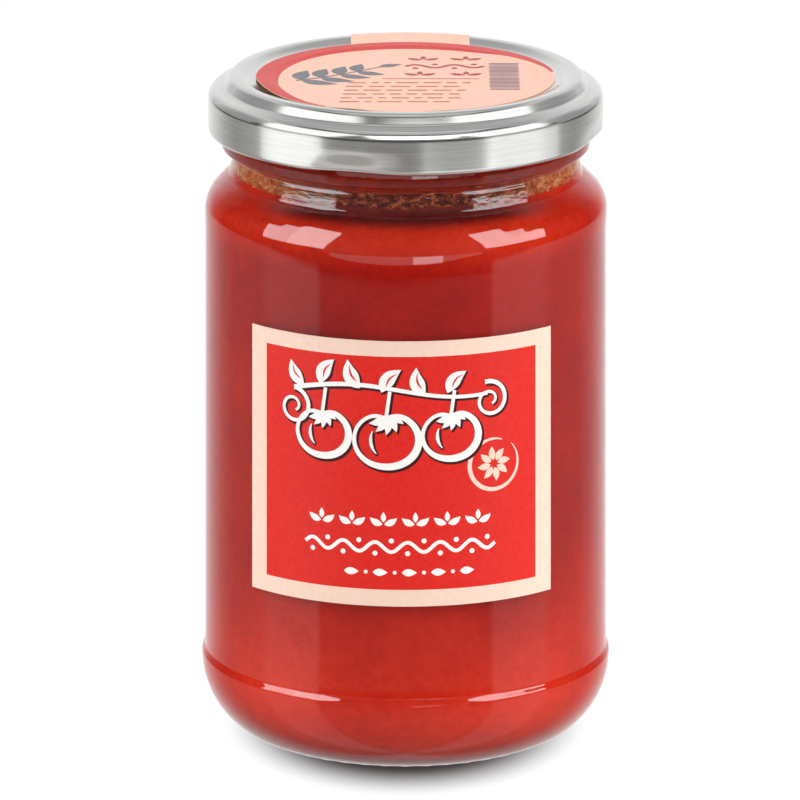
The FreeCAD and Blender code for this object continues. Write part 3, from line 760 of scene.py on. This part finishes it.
def tomatoSauce(sizes):
    # cooked and sieved tomato: fine pulp in a deep red liquid, matt where it lies against the glass
    # and wet on its free surface, where froth and oil turn it orange brown
    material = newMaterial("sieved tomato sauce")
    place = addNode(material, "TexCoord").outputs["Object"]
    pulp = addNode(material, "TexNoise", {
        "Vector": place, "Scale": 1 / (1.3 * mm), "Detail": 5.0, "Roughness": 0.62,
    })
    cloud = addNode(material, "TexNoise", {
        "Vector": place, "Scale": 1 / (17 * mm), "Detail": 3.0, "Roughness": 0.5,
    })
    blend = addNode(material, "Mix", {0: 0.45, 2: cloud, 3: pulp}, data_type="FLOAT")
    flat = addNode(material, "Mapping", {"Vector": place, "Scale": (1.0, 1.0, 2.0)})
    flecks = addNode(material, "TexNoise", {
        "Vector": flat, "Scale": 1 / (1.7 * mm), "Detail": 5.0, "Roughness": 0.7,
    })
    spot = addNode(material, "SeparateXYZ", {0: place})
    rim = sizes["level"] - sizes["shadeBandDepth"]
    tones, fronts = {}, {}
    for name in ("body", "heel", "shoulder", "edge", "film", "froth", "reflectedSideFroth"):
        low, middle, high = sizes[name]
        near, far = (0.40, 0.60) if name == "froth" else (0.36, 0.64)
        ramp = addNode(material, "ValToRGB", {0: flecks if name.lower().endswith("froth") else blend})
        tones[name] = rampStops(ramp, [(near, low), (0.5, middle), (far, high)])
    # the painted light at the heel and shoulder is weaker at the sides, and the painted shade under the rim
    # is only at the front
    low, high = sizes["frontSpan"]
    for name, least in sizes["aside"].items():
        fronts[name] = addNode(material, "MapRange", {
            "Value": spot.outputs["Y"], "From Min": low * mm, "From Max": high * mm, "To Min": least,
        }, interpolation_type="SMOOTHSTEP")
    # painted light and shade: lighter tones at the heel and on the shoulder stand in for light bounced up
    # from the floor and more light reaching the sauce there, and a darker band under the rim stands in for
    # shade
    main = tones["body"]
    for name, (low, high) in (
        ("heel", sizes["heelLitFade"]), ("shoulder", sizes["shoulderLitFade"]),
        ("edge", (rim, rim + sizes["shadeBandFade"])),
    ):
        zone = addNode(material, "MapRange", {
            "Value": spot.outputs["Z"], "From Min": low * mm, "From Max": high * mm,
        }, interpolation_type="SMOOTHSTEP")
        share = addNode(material, "Math", {0: zone, 1: fronts[name]}, operation="MULTIPLY")
        main = addNode(material, "Mix", {0: share, 6: main, 7: tones[name]}, data_type="RGBA")
    # painted reflection: away from the front the froth takes its paler tones
    foam = addNode(
        material, "Mix", {0: fronts["froth"], 6: tones["reflectedSideFroth"], 7: tones["froth"]}, data_type="RGBA"
    )
    free = addNode(material, "Attribute", attribute_name="free")
    froth = addNode(material, "Attribute", attribute_name="froth")
    smear = addNode(material, "Mix", {0: froth.outputs["Fac"], 6: tones["film"], 7: foam}, data_type="RGBA")
    mixed = addNode(material, "Mix", {0: free.outputs["Fac"], 6: main, 7: smear}, data_type="RGBA")
    bump = addNode(material, "Bump", {"Strength": 0.5, "Distance": 0.3 * mm, "Height": pulp})
    wet = addNode(material, "Attribute", attribute_name="wet")
    sheen = addNode(material, "Math", {0: wet.outputs["Fac"], 1: 0.9}, operation="MULTIPLY")
    shader = addNode(material, "BsdfPrincipled", {
        "Base Color": mixed, "Roughness": 0.55, "IOR": 1.36, "Specular IOR Level": 0.1,
        "Coat Weight": sheen, "Coat Roughness": 0.08, "Coat IOR": 1.4, "Normal": bump,
    })
    return finish(material, shader)


def sauceBubbles():
    # foam of fine pulp and air, dried a little: glossy skins that run from dark holes to pale cream, paler
    # at the sides as painted reflection
    material = newMaterial("tomato froth")
    tone = addNode(material, "Attribute", attribute_name="tone")
    ramp = addNode(material, "ValToRGB", {0: tone.outputs["Fac"]})
    rampStops(ramp, [(0.0, "#1E0503"), (0.4, "#521607"), (0.75, "#8A3E16"), (1.0, "#C8905E")])
    shader = addNode(material, "BsdfPrincipled", {
        "Base Color": ramp, "Roughness": 0.12, "IOR": 1.38, "Specular IOR Level": 0.5,
    })
    return finish(material, shader)


sauceMaterial = tomatoSauce(sauce)
sauceFill = makeSauce(sauce, jar)
dress(sauceFill, "root", [sauceMaterial], "tomato_sauce")
sauceFroth = makeFroth(sauce, jar)
dress(sauceFroth, "root", [sauceBubbles()])
print("sauce made")


# Lid.

lid = {
    "columns": 480,
    "sheet": 0.25,
    "radius": 33.2,
    "curlArc": 0.75, "curlHeight": 105.15, "curlTail": 0.4,
    "edgeArc": 1.8, "edgeHeight": 110.28, "fall": 16.0,
    "beadRadius": 30.0, "beadArc": 1.3, "beadLean": 32.0, "beadSlope": 1.1, "beadFootArc": 0.7,
    "beadTop": lidBox[1].z / mm, "beadInner": 28.3,
    "landRadius": 25.3, "landHeight": 113.35,
    "dishOuter": 22.8, "dishInner": 21.8, "dishHeight": 113.05,
    "lugCount": 4, "lugAngle": 30.0, "lugTurn": -16.5, "lugPush": 0.46, "lugTop": 108.6,
    "lugLift": 0.22,  # how far the edge rises at a lug, and how its dent fades, in half lug angles
    "lugFade": (0.1, 1.15),
}


def lidPanel(sizes, lift):
    # from the lid's middle out over its dish and land to the top of the bead
    dish, land, top = (h + lift for h in (sizes["dishHeight"], sizes["landHeight"], sizes["beadTop"]))
    return joined(
        line((0, dish), (sizes["dishInner"], dish), 4),
        levelBend((sizes["dishInner"], dish), (sizes["dishOuter"], land)),
        line((sizes["dishOuter"], land), (sizes["landRadius"], land), 2),
        levelBend((sizes["landRadius"], land), (sizes["beadInner"], top), 14),
        line((sizes["beadInner"], top), (sizes["beadRadius"] - sizes["beadArc"], top)),
    )


def makeLid(sizes):
    sheet, radius, curl = sizes["sheet"], sizes["radius"], sizes["curlArc"]
    edgeMiddle = (radius - sizes["edgeArc"], sizes["edgeHeight"])
    fall = sizes["fall"]  # the step slopes down to the edge by this many degrees
    # the bead's outside goes down a straight slope, whose normal is beadLean above the level
    beadMiddle = (sizes["beadRadius"] - sizes["beadArc"], sizes["beadTop"] - sizes["beadArc"])
    lean = math.radians(sizes["beadLean"])
    reach = sizes["beadArc"] + sizes["beadFootArc"]
    footMiddle = (
        beadMiddle[0] + reach * math.cos(lean) + sizes["beadSlope"] * math.sin(lean),
        beadMiddle[1] + reach * math.sin(lean) - sizes["beadSlope"] * math.cos(lean),
    )
    curlMiddle = (radius - curl, sizes["curlHeight"])
    tail = sizes["curlHeight"] + sizes["curlTail"]
    outside = joined(
        lidPanel(sizes, 0),
        arc(beadMiddle, sizes["beadArc"], 90, sizes["beadLean"]),
        arc(footMiddle, sizes["beadFootArc"], 180 + sizes["beadLean"], 270 - fall),
        arc(edgeMiddle, sizes["edgeArc"], 90 - fall, 0, 16),
        line((radius, edgeMiddle[1]), (radius, sizes["curlHeight"]), 24),
        arc(curlMiddle, curl, 0, -180, 16),
        line((radius - 2 * curl, sizes["curlHeight"]), (radius - 2 * curl, tail)),
    )
    under = joined(
        line((radius - 2 * curl + sheet, tail), (radius - 2 * curl + sheet, sizes["curlHeight"])),
        arc(curlMiddle, curl - sheet, -180, 0, 12),
        line((radius - sheet, sizes["curlHeight"]), (radius - sheet, edgeMiddle[1]), 20),
        arc(edgeMiddle, sizes["edgeArc"] - sheet, 0, 90 - fall, 8),
        arc(footMiddle, sizes["beadFootArc"] + sheet, 270 - fall, 180 + sizes["beadLean"], 8),
        arc(beadMiddle, sizes["beadArc"] - sheet, sizes["beadLean"], 90, 8),
        lidPanel(sizes, -sheet)[::-1],
    )
    outline = joined(outside, under)[::-1]
    points = turned(outline, sizes["columns"])
    # lugs: at each one the lower skirt and its curl are pressed in, and the edge rises a little
    angle = fullTurn(sizes["columns"])
    pitch = 2 * np.pi / sizes["lugCount"]
    away = (angle - math.radians(sizes["lugTurn"]) + pitch / 2) % pitch - pitch / 2
    pressed = 1 - smooth(*sizes["lugFade"], np.abs(away) / math.radians(sizes["lugAngle"] / 2))
    low = 1 - smooth(sizes["curlHeight"] - 0.2, sizes["lugTop"], outline[:, 1])
    push = low[:, None] * pressed
    pushOut(points, angle, -push * sizes["lugPush"])
    points[:, :, 2] += push * sizes["lugLift"]
    return meshPiece("lidTinplate", [points])


def tinplate():
    # electrolytic tinplate, spun and lacquered: a satin mirror whose skirt has fine level lines
    material = newMaterial("lacquered tinplate")
    place = addNode(material, "TexCoord").outputs["Object"]
    grainPlace = addNode(material, "Mapping", {"Vector": place, "Scale": (1 / 30, 1 / 30, 1.0)})
    grain = addNode(material, "TexNoise", {
        "Vector": grainPlace, "Scale": 1 / (0.34 * mm), "Detail": 3.0, "Roughness": 0.6,
    })
    cloud = addNode(material, "TexNoise", {"Vector": place, "Scale": 1 / (9 * mm), "Detail": 2.0})
    tone = addNode(material, "ValToRGB", {0: grain})
    rampStops(tone, [(0.3, "#CCCDCB"), (0.7, "#D8D9D6")])
    rough = addNode(material, "MapRange", {
        "Value": cloud, "From Min": 0.3, "From Max": 0.7, "To Min": 0.15, "To Max": 0.19,
    })
    bump = addNode(material, "Bump", {"Strength": 0.06, "Distance": 0.03 * mm, "Height": grain})
    metal = addNode(material, "BsdfPrincipled", {
        "Base Color": tone, "Metallic": 1.0, "Roughness": rough, "Normal": bump,
    })
    return finish(material, metal)


lidTinplate = makeLid(lid)
dress(lidTinplate, "root", [tinplate()], "lid")
lidOnly.objects.link(lidTinplate)
allButLid.objects.link(lidTinplate)
allButLid.collection_objects[0].light_linking.link_state = "EXCLUDE"
print("lid made")


# Flat shapes for the print: each is a grid of (across, up) points in the print's own plane.

def stroke(path, widths, across=3, closed=False):
    # a ribbon along a path: each point is the path plus or minus half its width along the normal
    path = np.asarray(path, float)
    along = np.gradient(path, axis=0)
    if closed:
        along[[0, -1]] = path[1] - path[-2]
    along /= np.linalg.norm(along, axis=1, keepdims=True)
    normal = np.stack([-along[:, 1], along[:, 0]], axis=1)
    side = np.linspace(0.5, -0.5, across + 1)[None, :, None]
    return path[:, None, :] + normal[:, None, :] * np.asarray(widths, float)[:, None, None] * side


def bar(start, end, width):
    # a straight stroke with round ends
    length = math.dist(start, end)
    count = max(9, int(length / 0.45))
    ease = (1 - np.cos(np.linspace(0, np.pi, count))) / 2
    places = 0.5 * ease + 0.5 * np.linspace(0, 1, count)
    path = line(start, end, 1)[0] + np.outer(places, np.subtract(end, start))
    share = places * length
    near = np.minimum(share, length - share) / (width / 2)
    return stroke(path, width * np.sqrt(np.clip(1 - np.clip(1 - near, 0, 1) ** 2, 0.01, 1)), 2)


def dot(middle, radius):
    # a filled round: circles of radius, half of it and none
    return polar(middle, radius * np.array([[1.0], [0.5], [0.0]]), np.linspace(0, 2 * np.pi, 11))


def leaf(foot, length, width, turn, bend=0.15, grow=0.0):
    # half its width is sin(pi t^0.85) along a gently bent middle line; grow widens it all round
    share = np.linspace(0, 1, 18)
    angle = math.radians(turn)
    along = share * (length + 2 * grow) - grow
    aside = bend * length * np.sin(np.pi * share)
    x = foot[0] + along * math.cos(angle) - aside * math.sin(angle)
    y = foot[1] + along * math.sin(angle) + aside * math.cos(angle)
    return stroke(np.stack([x, y], axis=1), (width + 2 * grow) * np.sin(np.pi * share ** 0.85) + 0.02, 4)


def tomatoCurve(middle, radius):
    # a flattened round with a dip at its stalk: r (1 + 0.08 cos 2a - dip)
    angle = np.linspace(0, 2 * np.pi, 65)
    dip = 0.16 * np.exp(-(((angle - np.pi / 2) / 0.36) ** 2))
    return polar(middle, radius * (1 + 0.08 * np.cos(2 * angle) - dip), angle)


def swirl(middle, radius, start, turns, width, grow=0.0):
    # a spiral whose radius falls evenly to less than a quarter
    share = np.linspace(0, 1, 40)
    angle = math.radians(start) + turns * 2 * np.pi * share
    return stroke(polar(middle, radius * (1 - 0.78 * share), angle), (width + 2 * grow) * (1 - 0.45 * share))


def thicken(piece, depth):
    # gives a sheet its thickness inwards, with crisp edges all round
    sheet = piece.modifiers.new("thickness", "SOLIDIFY")
    sheet.thickness = depth * mm
    sheet.offset = -1
    bpy.context.view_layer.update()
    solid = bpy.data.meshes.new_from_object(piece.evaluated_get(bpy.context.evaluated_depsgraph_get()))
    piece.modifiers.clear()
    piece.data = solid
    solid.set_sharp_from_angle(angle=math.radians(40))


ink = {"depth": 0.03, "step": 0.003, "steps": 8}  # shapes that may overlap lie at different heights


def printPiece(name, shapes, place, lift, material):
    # lays flat shapes on a surface as one thin film of ink
    grids = [
        place(shape[:, :, 0], shape[:, :, 1], lift + ink["step"] * (index % ink["steps"]))
        for index, shape in enumerate(shapes)
    ]
    piece = meshPiece(name, grids, closed=False, weld=1e-7)
    thicken(piece, ink["depth"])
    dress(piece, "root", [material])


def printedPaper(name, low, high):
    # ink or bare stock on coated paper, offset printed: nearly even, with a faint fibre mottle
    material = newMaterial(name)
    place = addNode(material, "TexCoord").outputs["Object"]
    mottle = addNode(material, "TexNoise", {
        "Vector": place, "Scale": 1 / (0.9 * mm), "Detail": 4.0, "Roughness": 0.6,
    })
    tone = addNode(material, "ValToRGB", {0: mottle})
    rampStops(tone, [(0.3, low), (0.7, high)])
    fibre = addNode(material, "TexNoise", {"Vector": place, "Scale": 1 / (0.35 * mm), "Detail": 3.0})
    bump = addNode(material, "Bump", {"Strength": 0.15, "Distance": 0.03 * mm, "Height": fibre})
    shader = addNode(material, "BsdfPrincipled", {
        "Base Color": tone, "Roughness": 0.45, "IOR": 1.46, "Specular IOR Level": 0.22,
        "Normal": bump,
    })
    return finish(material, shader)


creamPaper = printedPaper("coated cream paper", "#F4D1BD", "#F9D9C8")
redInk = printedPaper("red offset ink", "#DC2119", "#E42B22")
whiteInk = printedPaper("white paper left bare", "#FBF6F1", "#FFFDFA")
darkInk = printedPaper("dark offset ink", "#3A0F12", "#4A181A")


# Front label.

label = {
    "thick": 0.15,
    "bottom": labelBox[0].z / mm,
    "top": labelBox[1].z / mm,
    "angle": 94.0, "turn": -1.75,
    "borderSide": 3.5, "borderTop": 2.65, "borderBottom": 2.9,
    "columns": 220, "rows": 150,
    "fieldLift": 0.012, "inkLift": 0.024, "vineLift": 0.060, "veinLift": 0.090,  # off the paper's face
    "shadow": 0.22, "shadowShift": (0.22, -0.25),  # how much wider it is than the vine, and how it lies
    "rosette": ((16.2, 23.9), 4.3),  # middle and radius
    # rows of small shapes: left end, right end, height up the label and size
    "leafRow": (-15.8, 15.8, 15.0, 2.5), "waveRow": (-16.3, 16.3, 10.3, 2.6),
    "beadRow": (-10.5, 13.8, 5.9, 2.0),
}


def panelRadius(height):
    # the straight wall narrows evenly from its foot to the shoulder
    panelStart = heelSizes(jar)[2]
    share = (height - panelStart) / (jar["shoulderStart"] - jar["shoulderStep"] - panelStart)
    return jar["panelFoot"] + (jar["panelTop"] - jar["panelFoot"]) * share


def onLabel(across, up, lift):
    # wraps (across, up) on the wall: the angle is across / radius, and lift is the height off the glass
    height = label["bottom"] + up
    radius = panelRadius(height)
    middleRadius = panelRadius((label["bottom"] + label["top"]) / 2)
    angle = across / middleRadius + math.radians(label["turn"])
    return around(radius + lift, angle, height)


def labelHalf(sizes):
    middle = panelRadius((sizes["bottom"] + sizes["top"]) / 2)
    return middle * math.radians(sizes["angle"]) / 2


def makeLabelPaper(sizes):
    half = labelHalf(sizes)
    height = sizes["top"] - sizes["bottom"]
    across = np.linspace(-half, half, sizes["columns"])
    across, up = np.meshgrid(across, np.linspace(0, height, sizes["rows"]))
    paper = meshPiece("frontLabel", [onLabel(across, up, sizes["thick"])], closed=False)
    thicken(paper, sizes["thick"])
    return paper


def fieldShape(left, right, low, high):
    # a plain rectangle, divided finely enough to follow the round wall
    across, up = np.meshgrid(
        np.linspace(left, right, int((right - left) / 0.4) + 2),
        np.linspace(low, high, int((high - low) / 1.0) + 2),
    )
    return np.stack([across, up], axis=2)


stem = {"left": -18.5, "right": 15.0, "height": 36.6, "width": 0.8, "stalkTop": 37.2, "stalkWidth": 0.6}
fruits = (((-13.2, 29.4), 4.3), ((-2.2, 28.8), 5.0), ((8.6, 29.5), 4.4))  # middle and radius
tendrils = (((-18.6, 33.3), 3.3, 88, -1.4), ((15.4, 35.0), 3.3, 105, -1.45))  # their middle first
vineLeaves = (  # foot, length, width and direction
    ((-16.6, 37.2), 4.8, 2.3, 122), ((-13.6, 37.8), 5.0, 2.5, 60), ((-6.6, 37.6), 5.2, 2.6, 114),
    ((-3.0, 37.0), 5.1, 2.4, 50), ((4.2, 36.4), 5.1, 2.5, 106), ((8.0, 36.8), 4.8, 2.3, 48),
)


def vineShapes(grow):
    # a stem with three tomatoes drawn in outline, filled leaves and two tendrils
    share = np.linspace(0, 1, 60)
    x = stem["left"] + (stem["right"] - stem["left"]) * share
    y = stem["height"] + 1.3 * np.sin(share * 5.2) + 0.8 * share
    shapes = [stroke(np.stack([x, y], axis=1), (stem["width"] + 2 * grow) * (1 - 0.25 * share))]
    for middle, radius in fruits:
        swell = 1 + 0.35 * np.sin(np.linspace(0, 2 * np.pi, 65) + 2.2)
        shapes.append(stroke(tomatoCurve(middle, radius), 0.95 * swell + 2 * grow, 3, True))
        top = (middle[0], middle[1] + radius * 0.8)
        stalk = line(top, (middle[0] + 0.6, stem["stalkTop"]), 10)
        shapes.append(stroke(stalk, np.full(11, stem["stalkWidth"] + 2 * grow)))
        for turn in (-158, -124, -90, -56, -22):
            shapes.append(leaf(top, radius * 0.62, radius * 0.26, turn, 0.1, grow))
        rib = np.linspace(-0.9, 0.5, 16)
        bow = np.stack([-0.52 * np.cos(rib), 0.62 * np.sin(rib)], axis=1) * radius + middle
        shapes.append(stroke(bow, (0.55 * np.sin(np.pi * np.linspace(0.06, 0.94, 16))) + 2 * grow))
    for foot, length, width, turn in vineLeaves:
        shapes.append(leaf(foot, length, width, turn, 0.12, grow))
    return shapes + [swirl(*tendril, 0.75, grow) for tendril in tendrils]


def vineMarks():
    # a vein down the middle of each leaf, in the colour below
    marks = []
    for foot, length, width, turn in vineLeaves:
        angle = math.radians(turn)
        start = (foot[0] + 1.2 * math.cos(angle), foot[1] + 1.2 * math.sin(angle))
        marks.append(leaf(start, length * 0.6, width * 0.12, turn, 0.16))
    return marks


def rosette(middle, radius):
    # a daisy of eight petals in a ring drawn with a brush: thick below, thin and open at the top right
    share = np.linspace(0, 1, 90)
    angle = np.radians(70 + 335 * share)
    reach = radius * (1 + 0.05 * share)
    shapes = [stroke(polar(middle, reach, angle), 0.12 + 0.62 * np.sin(np.pi * share ** 0.8) ** 0.8)]
    for turn in range(0, 360, 45):
        angle = math.radians(turn + 8)
        foot = (middle[0] + 0.15 * radius * math.cos(angle), middle[1] + 0.15 * radius * math.sin(angle))
        shapes.append(leaf(foot, radius * 0.55, radius * 0.27, turn + 8, 0.06))
    return shapes


def leafRow(left, right, up, size):
    # a garland: small leaves in pairs with a dot between the pairs
    shapes = []
    count = round((right - left) / (size * 2.0))
    for middle in np.linspace(left + size, right - size, count):
        shapes.append(leaf((middle - 0.15, up - size * 0.3), size * 0.95, size * 0.44, 152, 0.1))
        shapes.append(leaf((middle + 0.15, up - size * 0.3), size * 0.95, size * 0.44, 28, -0.1))
        shapes.append(leaf((middle, up - size * 0.15), size * 0.7, size * 0.34, 90, 0.0))
    return shapes


def waveRow(left, right, up, size):
    # a thin wavy line with a dot in each hollow
    share = np.linspace(0, 1, 160)
    turns = round((right - left) / (size * 2.2))
    path = np.stack(
        [left + (right - left) * share, up + 0.32 * size * np.sin(2 * np.pi * turns * share)], axis=1
    )
    shapes = [stroke(path, np.full(160, size * 0.24))]
    for index in range(2 * turns):
        side = 1 if index % 2 else -1
        middle = left + (right - left) * (index + 0.5) / (2 * turns)
        shapes.append(dot((middle, up + side * size * 0.42), size * 0.17))
    return shapes


def beadRow(left, right, up, size):
    # small lozenges with a dot between each two
    shapes = []
    count = round((right - left) / (size * 2.4))
    step = (right - left) / count
    for index in range(count):
        middle = left + (index + 0.5) * step
        shapes.append(leaf((middle - size * 0.62, up), size * 1.24, size * 0.62, 0, 0.0))
        if index:
            shapes.append(dot((middle - step / 2, up), size * 0.17))
    return shapes


def dashRow(left, right, up, width, seed):
    # short bars of uneven length with even gaps
    draw = np.random.default_rng(seed)
    shapes, start = [], left
    while start < right - 0.8:
        end = min(start + draw.uniform(1.2, 4.4), right)
        shapes.append(bar((start, up), (end, up), width))
        start = end + 0.75
    return shapes


def makeLabel(sizes):
    paper = makeLabelPaper(sizes)
    dress(paper, "root", [creamPaper], "front_label")
    half, height = labelHalf(sizes), sizes["top"] - sizes["bottom"]
    field = fieldShape(
        -half + sizes["borderSide"], half - sizes["borderSide"],
        sizes["borderBottom"], height - sizes["borderTop"],
    )
    shadow = [shape + sizes["shadowShift"] for shape in vineShapes(sizes["shadow"])]
    rows = leafRow(*sizes["leafRow"]) + waveRow(*sizes["waveRow"]) + beadRow(*sizes["beadRow"])
    for name, shapes, lift, paint in (
        ("labelRedField", [field], "fieldLift", redInk),
        ("labelShadow", shadow, "inkLift", darkInk),
        ("labelVine", vineShapes(0.0), "vineLift", whiteInk),
        ("labelVeins", vineMarks(), "veinLift", redInk),
        ("labelRows", rows, "inkLift", whiteInk),
        ("labelRosette", rosette(*sizes["rosette"]), "inkLift", creamPaper),
    ):
        printPiece(name, shapes, onLabel, sizes["thick"] + sizes[lift], paint)


makeLabel(label)
print("front label made")


# Paper seal on the lid.

seal = {
    "thick": 0.149, "clear": 0.01,  # clear of the lid, so that their faces don't fall together
    "radius": 25.2,
    "tabLeft": -9.3, "tabRight": 10.9, "tabLean": 53.5,
    "tabEnd": sealBox[0].z / mm,
    "rings": 110, "stripColumns": 49, "restColumns": 260,
    # where the paper's edge has come up, beyond liftStart from the middle: angle, spread and height
    "lifted": [(-74, 14, 0.42), (-20, 9, 0.25), (16, 8, 0.15)], "liftStart": 19.5,
    "inkLift": 0.02,
    # the crescent's width by the angle from the front
    "crescent": [
        (-262, 0.3), (-240, 1.8), (-215, 3.2), (-190, 3.8), (-165, 3.8),
        (-135, 3.6), (-110, 3.9), (-85, 3.8), (-60, 2.2), (-32, 0.02),
    ],
    # rows of small shapes: left end, right end, place towards the back and size
    "leafRows": [(0.0, 13.2, 14.2, 3.0), (-0.6, 13.2, 3.2, 3.0)], "waveRow": (0.0, 13.2, 8.6, 3.3),
    "rule": ((-4, -0.4), (12.5, -0.4), 0.35),
    "dashRows": (-3.2, -5.9, -8.6, -11.3, -14.0, -16.7), "dashWidth": 0.75,
    "stripes": (14.0, 19.2), "stripesSpan": (-8, 10.6), "stripeCount": 20, "stripeWidth": 0.55,
}


def sealLift(x, y):
    # the edge of the paper has come up a little at the front left and the front
    radius = np.hypot(x, y)
    angle = np.degrees(np.arctan2(x, -y))
    edge = smooth(seal["liftStart"], seal["radius"], radius) ** 1.6
    return edge * sum(
        lift * np.exp(-(((angle - middle) / spread) ** 2)) for middle, spread, lift in seal["lifted"]
    )


def onSeal(x, y, lift):
    # lays (x, y) on the lid's panel: the height comes from the panel's outline at that radius
    outline = lidPanel(lid, seal["thick"] + lift)
    radius = np.hypot(x, y)
    height = np.interp(radius, outline[:, 0], outline[:, 1])
    return np.stack([x, y, height + sealLift(x, y)], axis=2)


def tabOutline(thick):
    # the strip's way from the panel over the bead, across the step and down the skirt
    beadMiddle = (lid["beadRadius"] - lid["beadArc"], lid["beadTop"] - lid["beadArc"])
    edgeMiddle = (lid["radius"] - lid["edgeArc"], lid["edgeHeight"])
    lean = seal["tabLean"]
    panel = lidPanel(lid, thick)
    return joined(
        panel[panel[:, 0] > seal["radius"]],
        arc(beadMiddle, lid["beadArc"] + thick, 90, lean, 6),
        arc(edgeMiddle, lid["edgeArc"] + thick, lean, 0, 10),
        line((lid["radius"] + thick, edgeMiddle[1]), (lid["radius"] + thick, seal["tabEnd"]), 8),
    )


def makeSeal(sizes):
    thick, radius = sizes["thick"], sizes["radius"]
    left, right = math.asin(sizes["tabLeft"] / radius), math.asin(sizes["tabRight"] / radius)
    # angles from +Y towards +X: first across the strip, then round the rest of the disc
    across = np.linspace(left, right, sizes["stripColumns"])
    angle = np.concatenate([across, np.linspace(right, left + 2 * np.pi, sizes["restColumns"])[1:-1]])
    share = np.linspace(1, 0, sizes["rings"])[:, None]
    x, y = radius * share * np.sin(angle), radius * share * np.cos(angle)
    disc = onSeal(x, y, 0.0)[:, ::-1]
    outline = tabOutline(thick)
    side = radius * np.sin(across)
    back = np.sqrt(outline[:, :1] ** 2 - side ** 2)
    first = np.stack([side, radius * np.cos(across), 0 * side + disc[0, -1, 2]], axis=1)
    strip = np.stack([side + 0 * back, back, outline[:, 1:] + 0 * back], axis=2)
    strip = np.concatenate([first[None], strip])[::-1]
    paper = meshPiece("lidSeal", [disc], weld=None)
    stripPiece = meshPiece("sealStrip", [strip[:, ::-1]], closed=False, weld=None)
    whole = bmesh.new()
    whole.from_mesh(paper.data)
    whole.from_mesh(stripPiece.data)
    bmesh.ops.remove_doubles(whole, verts=whole.verts, dist=2e-6)
    whole.to_mesh(paper.data)
    whole.free()
    bpy.data.objects.remove(stripPiece)
    paper.data.polygons.foreach_set("use_smooth", np.ones(len(paper.data.polygons), bool))
    thicken(paper, thick - sizes["clear"])
    return paper


peachPaper = printedPaper("coated peach paper", "#F4BFAA", "#F9C9B5")
coralInk = printedPaper("coral offset ink", "#CB4B4B", "#D55653")
greyInk = printedPaper("grey offset ink", "#6E6E74", "#7E7E83")
brownInk = printedPaper("red brown offset ink", "#A8433C", "#B55048")
mauveInk = printedPaper("mauve offset ink", "#7E6676", "#8C7684")
paleBrownInk = printedPaper("pale brown offset ink", "#C07866", "#C8826F")


def crescentShape():
    # from the edge inwards; its width swells on the left and dies away at both ends
    ends, widths = zip(*seal["crescent"])
    angle = np.radians(np.linspace(ends[0], ends[-1], 150))
    width = np.interp(np.degrees(angle), ends, widths)
    width = np.convolve(np.pad(width, 6, mode="edge"), np.ones(13) / 13, mode="valid")
    inward = np.linspace(1, 0, 33)[:, None]
    reach = seal["radius"] - 0.03 - width * inward
    return np.stack([reach * np.sin(angle), -reach * np.cos(angle)], axis=2)[::-1]


def sprigShapes():
    # a curved twig with broad leaves in pairs
    share = np.linspace(0, 1, 40)
    twig = np.stack([-18.5 + 14 * share, -1.5 + 9.5 * share ** 1.3], axis=1)
    shapes = [stroke(twig, 0.75 * (1 - 0.4 * share))]
    for place in (0.10, 0.32, 0.54, 0.76):
        foot = twig[int(place * 39)]
        shapes.append(leaf(foot, 7.0 - 2.4 * place, 3.0 - 0.6 * place, 82, 0.1))
        shapes.append(leaf(foot, 7.0 - 2.4 * place, 3.0 - 0.6 * place, -26, -0.1))
    shapes.append(leaf(twig[-1], 4.4, 2.2, 28, 0.05))
    return shapes


def makeSealPrint(sizes):
    upper, lower = (leafRow(*row) for row in sizes["leafRows"])
    rows = upper + waveRow(*sizes["waveRow"]) + lower + [bar(*sizes["rule"])]
    # the short bars run further to both sides towards the back, as the edge of the disc allows
    small = [
        shape for up in sizes["dashRows"]
        for shape in dashRow(-9.5 + 0.1 * up, 11.5 + 0.16 * up, up, sizes["dashWidth"], int(40 - up))
    ]
    left, right = sizes["stripes"]
    stripes = [
        bar((left, up), (right, up), sizes["stripeWidth"])
        for up in np.linspace(*sizes["stripesSpan"], sizes["stripeCount"])
    ]
    for name, shapes, paint in (
        ("sealCrescent", [crescentShape()], coralInk),
        ("sealSprig", sprigShapes(), greyInk),
        ("sealRows", rows, brownInk),
        ("sealSmallRows", small, paleBrownInk),
        ("sealStripes", stripes, mauveInk),
    ):
        printPiece(name, shapes, onSeal, sizes["inkLift"], paint)


lidSeal = makeSeal(seal)
dress(lidSeal, "root", [peachPaper], "lid_sticker")
makeSealPrint(seal)
print("paper seal made")
